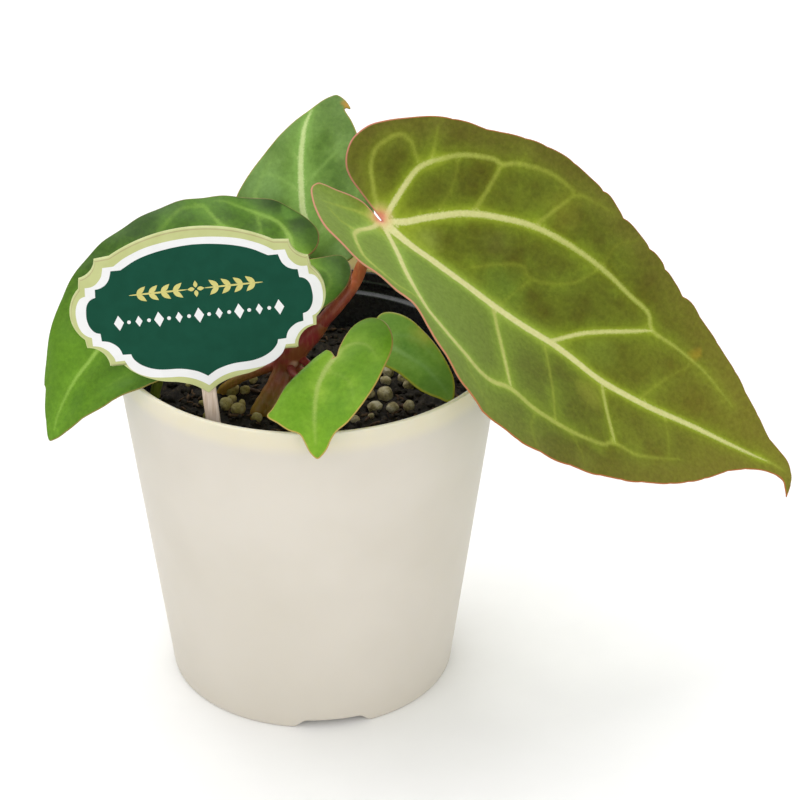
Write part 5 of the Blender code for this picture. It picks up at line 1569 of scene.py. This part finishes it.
# %% Drain notches
NOTCH_TURN, NOTCH_COUNT, NOTCH_HEIGHT = math.radians(7.7), 3, 2.4
NOTCH_HALF, NOTCH_SLANT, NOTCH_FADE = 11.0, 3.0, 4.0
for vertex in pot.data.vertices:
    x, y, z = (c / MM for c in vertex.co)
    radius = math.hypot(x, y)
    if radius > 37.0 and z < NOTCH_FADE:
        turn = math.atan2(x, -y) - NOTCH_TURN
        nearest_turn = (turn + math.pi / NOTCH_COUNT) % (2 * math.pi / NOTCH_COUNT) - math.pi / NOTCH_COUNT
        away = abs(nearest_turn) * BASE_RADIUS
        lift = NOTCH_HEIGHT * min(1.0, max(0.0, (NOTCH_HALF - away) / NOTCH_SLANT))
        if radius < 38.4:
            lift = min(lift, FOOT)
        vertex.co.z = max(z, lift + z * (NOTCH_FADE - lift) / NOTCH_FADE) * MM
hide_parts("cover_pot")
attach(pot, "root")
print(NOTCH_COUNT, "notches, each", 2 * NOTCH_HALF, "mm wide")

# %% [markdown]
# ### The inner pot
#
# A nursery pot has a straight band at its top that grips the outer pot, and a narrower body below. A small
# rib runs round the inside of the band and catches a thin highlight.

# %% Inner pot
LINER_GAP, BAND_STEP = 0.35, 1.4


def liner_outer(z, band=True):
    """Outer radius of the inner pot: its band fits closely, and its body stands back."""
    fit = pot_radius(z) - WALL - LINER_GAP
    return fit if band else fit - BAND_STEP


profile = [
    (0.0, 4.85), (liner_outer(4.85, False), 4.85), (liner_outer(92.6, False), 92.6),
    (liner_outer(93.3), 93.3),
    (liner_outer(99.0), 99.0), (liner_outer(99.0) - 1.0, 99.0), (liner_outer(96.5) - 1.0, 96.5),
    (liner_outer(96.1) - 1.35, 96.1), (liner_outer(95.6) - 1.35, 95.6), (liner_outer(95.2) - 1.05, 95.2),
    (liner_outer(93.3) - 1.0, 93.3), (liner_outer(92.6, False) - 1.0, 92.6),
    (liner_outer(6.05, False) - 1.0, 6.05), (0.0, 6.05)]
radii = [0, 1.0, 0.3, 0.3, 0.45, 0.45, 0.15, 0.2, 0.2, 0.15, 0.25, 0.3, 1.0, 0]
liner = lathe(filleted(profile, radii), 200, "black_nursery_pot", black)
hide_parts("grower_pot")
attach(liner, "root")
print("pots made:", len(pot.data.polygons), "and", len(liner.data.polygons), "faces")

# %% [markdown]
# ## The label
#
# The plant label is a shaped plaque on a strip of wood. Its face is printed: a pale green border, a white
# band and a dark green panel. The prints could be one texture, but thin raised layers keep their edges
# sharp at any distance and need no picture. The band and the panel have outlines of their own, because each
# is traced a little differently.

# %% Plaque outline
def bow(centre_x, centre_z, radius, start, end, steps):
    """Points of a circular arc, with its angles in degrees."""
    turns = [math.radians(start + (end - start) * i / steps) for i in range(steps + 1)]
    return [(centre_x + radius * math.cos(t), centre_z + radius * math.sin(t)) for t in turns]


def mirrored(half, axis=0.0):
    """A closed outline from its right half, which runs from the bottom up to the top."""
    half = np.asarray(half, float)
    return np.concatenate([half, (half * (-1, 1) + (2 * axis, 0))[1:-1][::-1]])


OGEE = through([(0.0, 0.0), (3.4, 2.4), (7.5, 3.8), (12.0, 4.6), (16.2, 6.2), (19.4, 8.2), (21.6, 10.4)],
               per_span=6)
CREST = [(x, 45.9 - 44.0 + math.sqrt(44.0**2 - x * x)) for x in np.linspace(21.6, 0, 24)]
BOARD = mirrored([*map(tuple, OGEE), (24.8, 10.4), *bow(30.6, 10.3, 5.6, 180, 92, 12),
                  *bow(24.4, 25.2, 9.4, -48, 48, 24), *bow(31.0, 40.4, 5.4, 262, 186, 12), *CREST])
print("plaque is %.1f mm wide and %.1f mm high" % tuple(np.ptp(BOARD, axis=0)))

# %% [markdown]
# ### The printed outlines
#
# Each outline is drawn as its right half, as smooth runs that meet in sharp corners, and then mirrored. The
# plaque leans back by 10 degrees and turns by 5.4 degrees on its stake, and one matrix carries every layer
# there.

# %% Printed outlines
LEAN, TURN = math.radians(10.0), math.radians(5.4)
PLAQUE = (Matrix.Translation(Vector((-26.7, -37.0, 107.1))) @ Matrix.Rotation(-LEAN, 4, "X")
          @ Matrix.Rotation(-TURN, 4, "Y"))


def printed(pieces, axis):
    """A printed outline: smooth runs that meet in sharp corners, mirrored about an axis."""
    runs = [through(piece, per_span=5)[: -1 if i < len(pieces) - 1 else None]
            for i, piece in enumerate(pieces)]
    half = np.concatenate(runs)
    half[0, 0] = half[-1, 0] = axis
    return mirrored(half, axis)


BAND = printed([
    [(0.4, 2.2), (2.0, 3.3), (3.9, 4.3), (5.9, 5.0), (8.0, 5.4), (10.2, 5.5), (12.9, 5.7), (15.1, 6.0),
     (16.7, 6.5), (18.4, 7.3), (19.8, 8.3), (20.9, 9.5), (21.8, 11.4)],
    [(21.8, 11.4), (24.2, 11.4)],
    [(24.2, 11.4), (24.4, 12.3), (25.0, 13.4), (25.8, 14.5), (27.0, 15.5), (28.1, 16.0), (29.6, 16.3)],
    [(29.6, 16.3), (29.6, 18.6)],
    [(29.6, 18.6), (30.5, 19.0), (31.4, 19.7), (32.2, 20.8), (32.8, 22.6), (33.0, 24.9), (32.8, 26.8),
     (32.3, 28.2), (31.5, 29.4), (30.7, 29.9), (29.9, 30.1)],
    [(29.9, 30.1), (29.7, 32.4)],
    [(29.7, 32.4), (28.1, 32.5), (26.9, 33.0), (25.9, 33.9), (25.1, 35.0), (24.7, 36.2), (24.4, 37.4)],
    [(24.4, 37.4), (21.5, 37.5)],
    [(21.5, 37.5), (20.3, 38.3), (18.9, 39.2), (16.8, 40.2), (13.7, 41.4), (10.5, 42.2), (6.6, 42.8),
     (3.2, 43.1), (0.4, 43.2)]], 0.4)
PANEL = printed([
    [(0.3, 4.8), (1.4, 5.5), (3.0, 6.4), (5.1, 7.1), (6.9, 7.5), (8.7, 7.7), (11.3, 7.8), (13.1, 8.0),
     (15.0, 8.5), (16.6, 9.2), (18.0, 10.1), (19.0, 11.1), (19.6, 12.0), (19.9, 13.0)],
    [(19.9, 13.0), (22.1, 13.1)],
    [(22.1, 13.1), (22.5, 14.4), (23.2, 15.5), (24.4, 16.5), (25.6, 17.1), (27.1, 17.4)],
    [(27.1, 17.4), (27.2, 19.5)],
    [(27.2, 19.5), (28.2, 19.8), (29.0, 20.4), (29.7, 21.5), (30.1, 22.6), (30.3, 24.1), (30.2, 25.7),
     (29.9, 27.3), (29.2, 28.5), (28.3, 29.2), (27.3, 29.5)],
    [(27.3, 29.5), (27.1, 31.7)],
    [(27.1, 31.7), (26.2, 31.8), (25.3, 32.1), (24.4, 32.6), (23.6, 33.4), (23.0, 34.4), (22.4, 36.3)],
    [(22.4, 36.3), (19.8, 36.3)],
    [(19.8, 36.3), (18.2, 37.2), (16.6, 38.1), (14.5, 39.0), (11.9, 39.8), (9.2, 40.4), (6.0, 40.9),
     (3.0, 41.2), (0.4, 41.3)]], 0.4)
print("band and panel have", len(BAND), "and", len(PANEL), "points")

# %% Slab maker
def outward(outline):
    """Unit vectors that point out of a closed outline."""
    return -inwards(outline, 5, 0.1)


def slab(name, outline, back, front, material, bevel=0.0):
    """A flat slab between two depths of the plaque's own axes, with its front edge rounded off if asked."""
    rows = [(0.0, back), (0.0, front)]
    if bevel:
        rows = [(0.0, back), (0.0, front + bevel), (bevel * 0.3, front + bevel * 0.3), (bevel, front)]
    out = outward(outline)
    points = []
    for inset, depth in rows:
        points += [tuple(PLAQUE @ Vector((x, depth, z))) for x, z in outline - out * inset]
    n = len(outline)
    faces = []
    for k in range(len(rows) - 1):
        faces += band(k * n, (k + 1) * n, n)
    faces += [list(range(n))[::-1], [len(points) - n + i for i in range(n)]]
    item = plain_object(name, points, faces, material, smooth=False)
    shape = bmesh.new()
    shape.from_mesh(item.data)
    bmesh.ops.recalc_face_normals(shape, faces=shape.faces)
    shape.to_mesh(item.data)
    shape.free()
    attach(item, "root")
    return item


print("the plaque leans back by %.0f degrees" % math.degrees(LEAN))

# %% [markdown]
# ### Printed card
#
# The label is card, printed in one ink for each layer and covered with a satin film. The ink lies a little
# unevenly, and the card's own tooth, 0.6 mm wide, shows faintly through the film. The cut edge has no film,
# so it is matt. A thin tan line just inside the edge, widest along the top, is painted shade.

# %% Label materials
def print_material(name, ink, thin_ink, rough=0.42):
    """Card printed in one ink under a satin film: the ink lies a little unevenly, and the gloss is soft."""
    m = new_material(name)
    where = (add(m, "TexCoord"), "Object")
    mottle = add(m, "TexNoise", {"Vector": where, "Scale": 240.0, "Detail": 3.0})
    ink_lay = add(m, "ValToRGB", {"Fac": mottle}, stops=[(0.35, ink), (0.65, thin_ink)])
    # The card's own tooth is 0.6 mm, and it shows faintly through the film.
    film = add(m, "TexNoise", {"Vector": where, "Scale": 1600.0, "Detail": 2.0})
    bump = add(m, "Bump", {"Height": film, "Strength": 0.04, "Distance": 0.0002})
    skin = add(m, "BsdfPrincipled", {"Base Color": ink_lay, "Roughness": rough, "Normal": bump,
                                     "Specular IOR Level": 0.1})
    add(m, "OutputMaterial", {"Surface": skin})
    return m


CUT_EDGE = print_material("cut_pale_card_edge", "#bcc086", "#c6ca94", 0.7)
# Painted shade: a tan line just inside the plaque's edge.
PAINTED_EDGE_SHADE = print_material("painted_edge_shade_line", "#a9a172", "#b5ad80")
PALE_GREEN = print_material("printed_pale_green_card", "#b8bd80", "#bec388")
WHITE_PRINT = print_material("printed_white_card", "#e3e3e2", "#e7e7e6")
PANEL_GREEN = print_material("printed_dark_green_card", "#0c4432", "#0f4836")
GOLD_PRINT = print_material("printed_gold_ink", "#c8bf72", "#cec67c")
print("inks:", [m.name for m in (CUT_EDGE, PAINTED_EDGE_SHADE, PALE_GREEN, WHITE_PRINT, PANEL_GREEN, GOLD_PRINT)])

# %% Plaque layers
board = slab("plaque_board", BOARD, 1.2, 0.0, CUT_EDGE, bevel=0.2)
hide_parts("label_plaque")
# This painted shade shows between the edge and the border, widest along the top.
slab("plaque_edge_line", BOARD - outward(BOARD) * 0.4, 0.1, -0.012, PAINTED_EDGE_SHADE)
slab("plaque_border", BOARD - outward(BOARD) * 0.48 + (0.0, -0.22), 0.1, -0.024, PALE_GREEN)
slab("plaque_white_band", BAND, 0.1, -0.048, WHITE_PRINT)
slab("plaque_panel", PANEL, 0.1, -0.072, PANEL_GREEN)
print("plaque layers made")

# %% [markdown]
# ### The ornament
#
# The panel carries a plain gold sprig over a row of white lozenges and dots. Both are drawn from a few
# lengths and repeated, each bit as a slab 0.1 mm thick.

# %% Ornament: a gold sprig over a row of white lozenges
def leaf_outline(x, z, length, width, turn):
    """A small pointed leaf from its stalk end, turned by an angle in degrees."""
    t = np.linspace(0, 1, 15)
    half = width / 2 * np.sin(math.pi * t**0.8)
    shape = np.concatenate([np.stack([t * length, half], 1), np.stack([t * length, -half], 1)[::-1][1:-1]])
    c, s = math.cos(math.radians(turn)), math.sin(math.radians(turn))
    return shape @ np.array([[c, s], [-s, c]]) + (x, z)


def rule_outline(x0, x1, z, thick):
    """A thin straight rule that tapers to both ends."""
    t = np.linspace(0, 1, 31)
    half = thick / 2 * np.sin(math.pi * np.clip(t, 0.004, 0.996)) ** 0.35
    x = x0 + (x1 - x0) * t
    return np.concatenate([np.stack([x, z + half], 1), np.stack([x, z - half], 1)[::-1]])


SPRIG_Z, SPRIG_HALF, ROW_Z, ROW_STEP = 29.2, 17.6, 21.9, 5.3
for k, side in enumerate((-1, 1)):
    slab("sprig_stem_%d" % k, rule_outline(side * SPRIG_HALF, side * 2.3, SPRIG_Z, 0.5), 0.0, -0.1,
         GOLD_PRINT)
    for i, x in enumerate((15.6, 12.4, 9.2, 6.0)):
        for turn in (40, -40):
            angle = turn if side < 0 else 180 - turn
            slab("sprig_leaf_%d_%d_%s" % (k, i, "up" if turn > 0 else "down"),
                 leaf_outline(side * x, SPRIG_Z, 3.2, 1.35, angle), 0.0, -0.11, GOLD_PRINT)
for i in range(4):
    turn = i * math.pi / 2
    petal = leaf_outline(0.35 * math.cos(turn), SPRIG_Z + 0.35 * math.sin(turn), 1.9, 1.1, 90 * i)
    slab("sprig_petal_%d" % i, petal, 0.0, -0.12, GOLD_PRINT)
for i in range(9):
    x = ROW_STEP * (i - 4)
    tall = 4.2 if i % 2 == 0 else 3.0
    wide = tall * 0.62
    half = np.array([(0.0, -tall / 2), (wide / 2, 0.0), (0.0, tall / 2), (-wide / 2, 0.0)])
    ring = even_steps(half, 0.25, closed=True) + (x, ROW_Z)
    slab("row_lozenge_%d" % i, ring, 0.0, -0.11, WHITE_PRINT)
    if i < 8:
        turns = np.linspace(0, 2 * math.pi, 20, endpoint=False)
        ring = np.array((x + ROW_STEP / 2, ROW_Z)) + 0.5 * np.stack([np.cos(turns), np.sin(turns)], 1)
        slab("row_dot_%d" % i, ring, 0.0, -0.11, WHITE_PRINT)
print("ornament made: a sprig of 16 leaves and a row of 9 lozenges")

# %% [markdown]
# ### The stake
#
# The stake is a strip of pale birch, sawn 3.8 mm wide and 1.6 mm thick, that bows forward a little where it
# leaves the plaque. A swept octagon gives it small bevels. Its fibres are noise drawn out along its length.

# %% Stake
wood = new_material("sawn_birch_strip")
# A sawn strip of pale birch: fibres 0.4 mm wide run down it, with darker pores.
where = (add(wood, "TexCoord"), "Object")
long_space = add(wood, "Mapping", {"Vector": where, "Scale": (2600.0, 2600.0, 130.0)})
fibres = add(wood, "TexNoise", {"Vector": long_space, "Scale": 1.0, "Detail": 4.0})
tint = add(wood, "ValToRGB", {"Fac": fibres}, stops=[(0.35, "#f2e0d0"), (0.7, "#d6bea6")])
bump = add(wood, "Bump", {"Height": fibres, "Strength": 0.4, "Distance": 0.0003})
skin = add(wood, "BsdfPrincipled", {"Base Color": tint, "Roughness": 0.7, "Normal": bump})
add(wood, "OutputMaterial", {"Surface": skin})

STAKE_LINE = through([(22.0, 1.2), (10.0, 1.22), (-1.0, 1.3), (-9.0, 2.7), (-20.0, 5.4),
                      (-30.0, 7.8)], per_span=6)
points, faces = [], []
half, thick, corner = 1.9, 1.6, 0.25
for z, y in STAKE_LINE:
    for x, back in ((-half + corner, 0.0), (half - corner, 0.0), (half, corner), (half, thick - corner),
                    (half - corner, thick), (-half + corner, thick), (-half, thick - corner),
                    (-half, corner)):
        points.append(tuple(PLAQUE @ Vector((x, y + back, z))))
for k in range(len(STAKE_LINE) - 1):
    faces += band(8 * k, 8 * (k + 1), 8)
faces += [list(range(8))[::-1], [len(points) - 8 + i for i in range(8)]]
stake = plain_object("birch_label_stake", points, faces, wood, smooth=False)
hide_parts("label_stake")
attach(stake, "root")
print("stake:", len(faces), "faces")

# %% [markdown]
# ## The young shoot
#
# By the left wall a new leaf has just come up. It is still rolled into a thin spear, so a tapered tube is
# enough.

# %% Shoot
SHOOT_LINE = [(-44.0, 0.5, 80.0), (-43.0, 0.0, 87.0), (-40.6, 0.5, 95.0), (-37.0, 2.0, 103.0),
              (-34.8, 3.4, 109.3)]
path = through(SHOOT_LINE, per_span=14)
t = np.linspace(0, 1, len(path))
radii = np.interp(t, (0, 0.4, 0.75, 1), (1.3, 1.5, 1.25, 0.35))
shoot_points, shoot_faces = tube(*rounded_ends(path, radii), 20)
shoot = plain_object("rolled_young_leaf", shoot_points, shoot_faces, SHOOT_SKIN)
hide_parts("side_shoot")
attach(shoot, "root")
print("shoot:", len(shoot_faces), "faces")
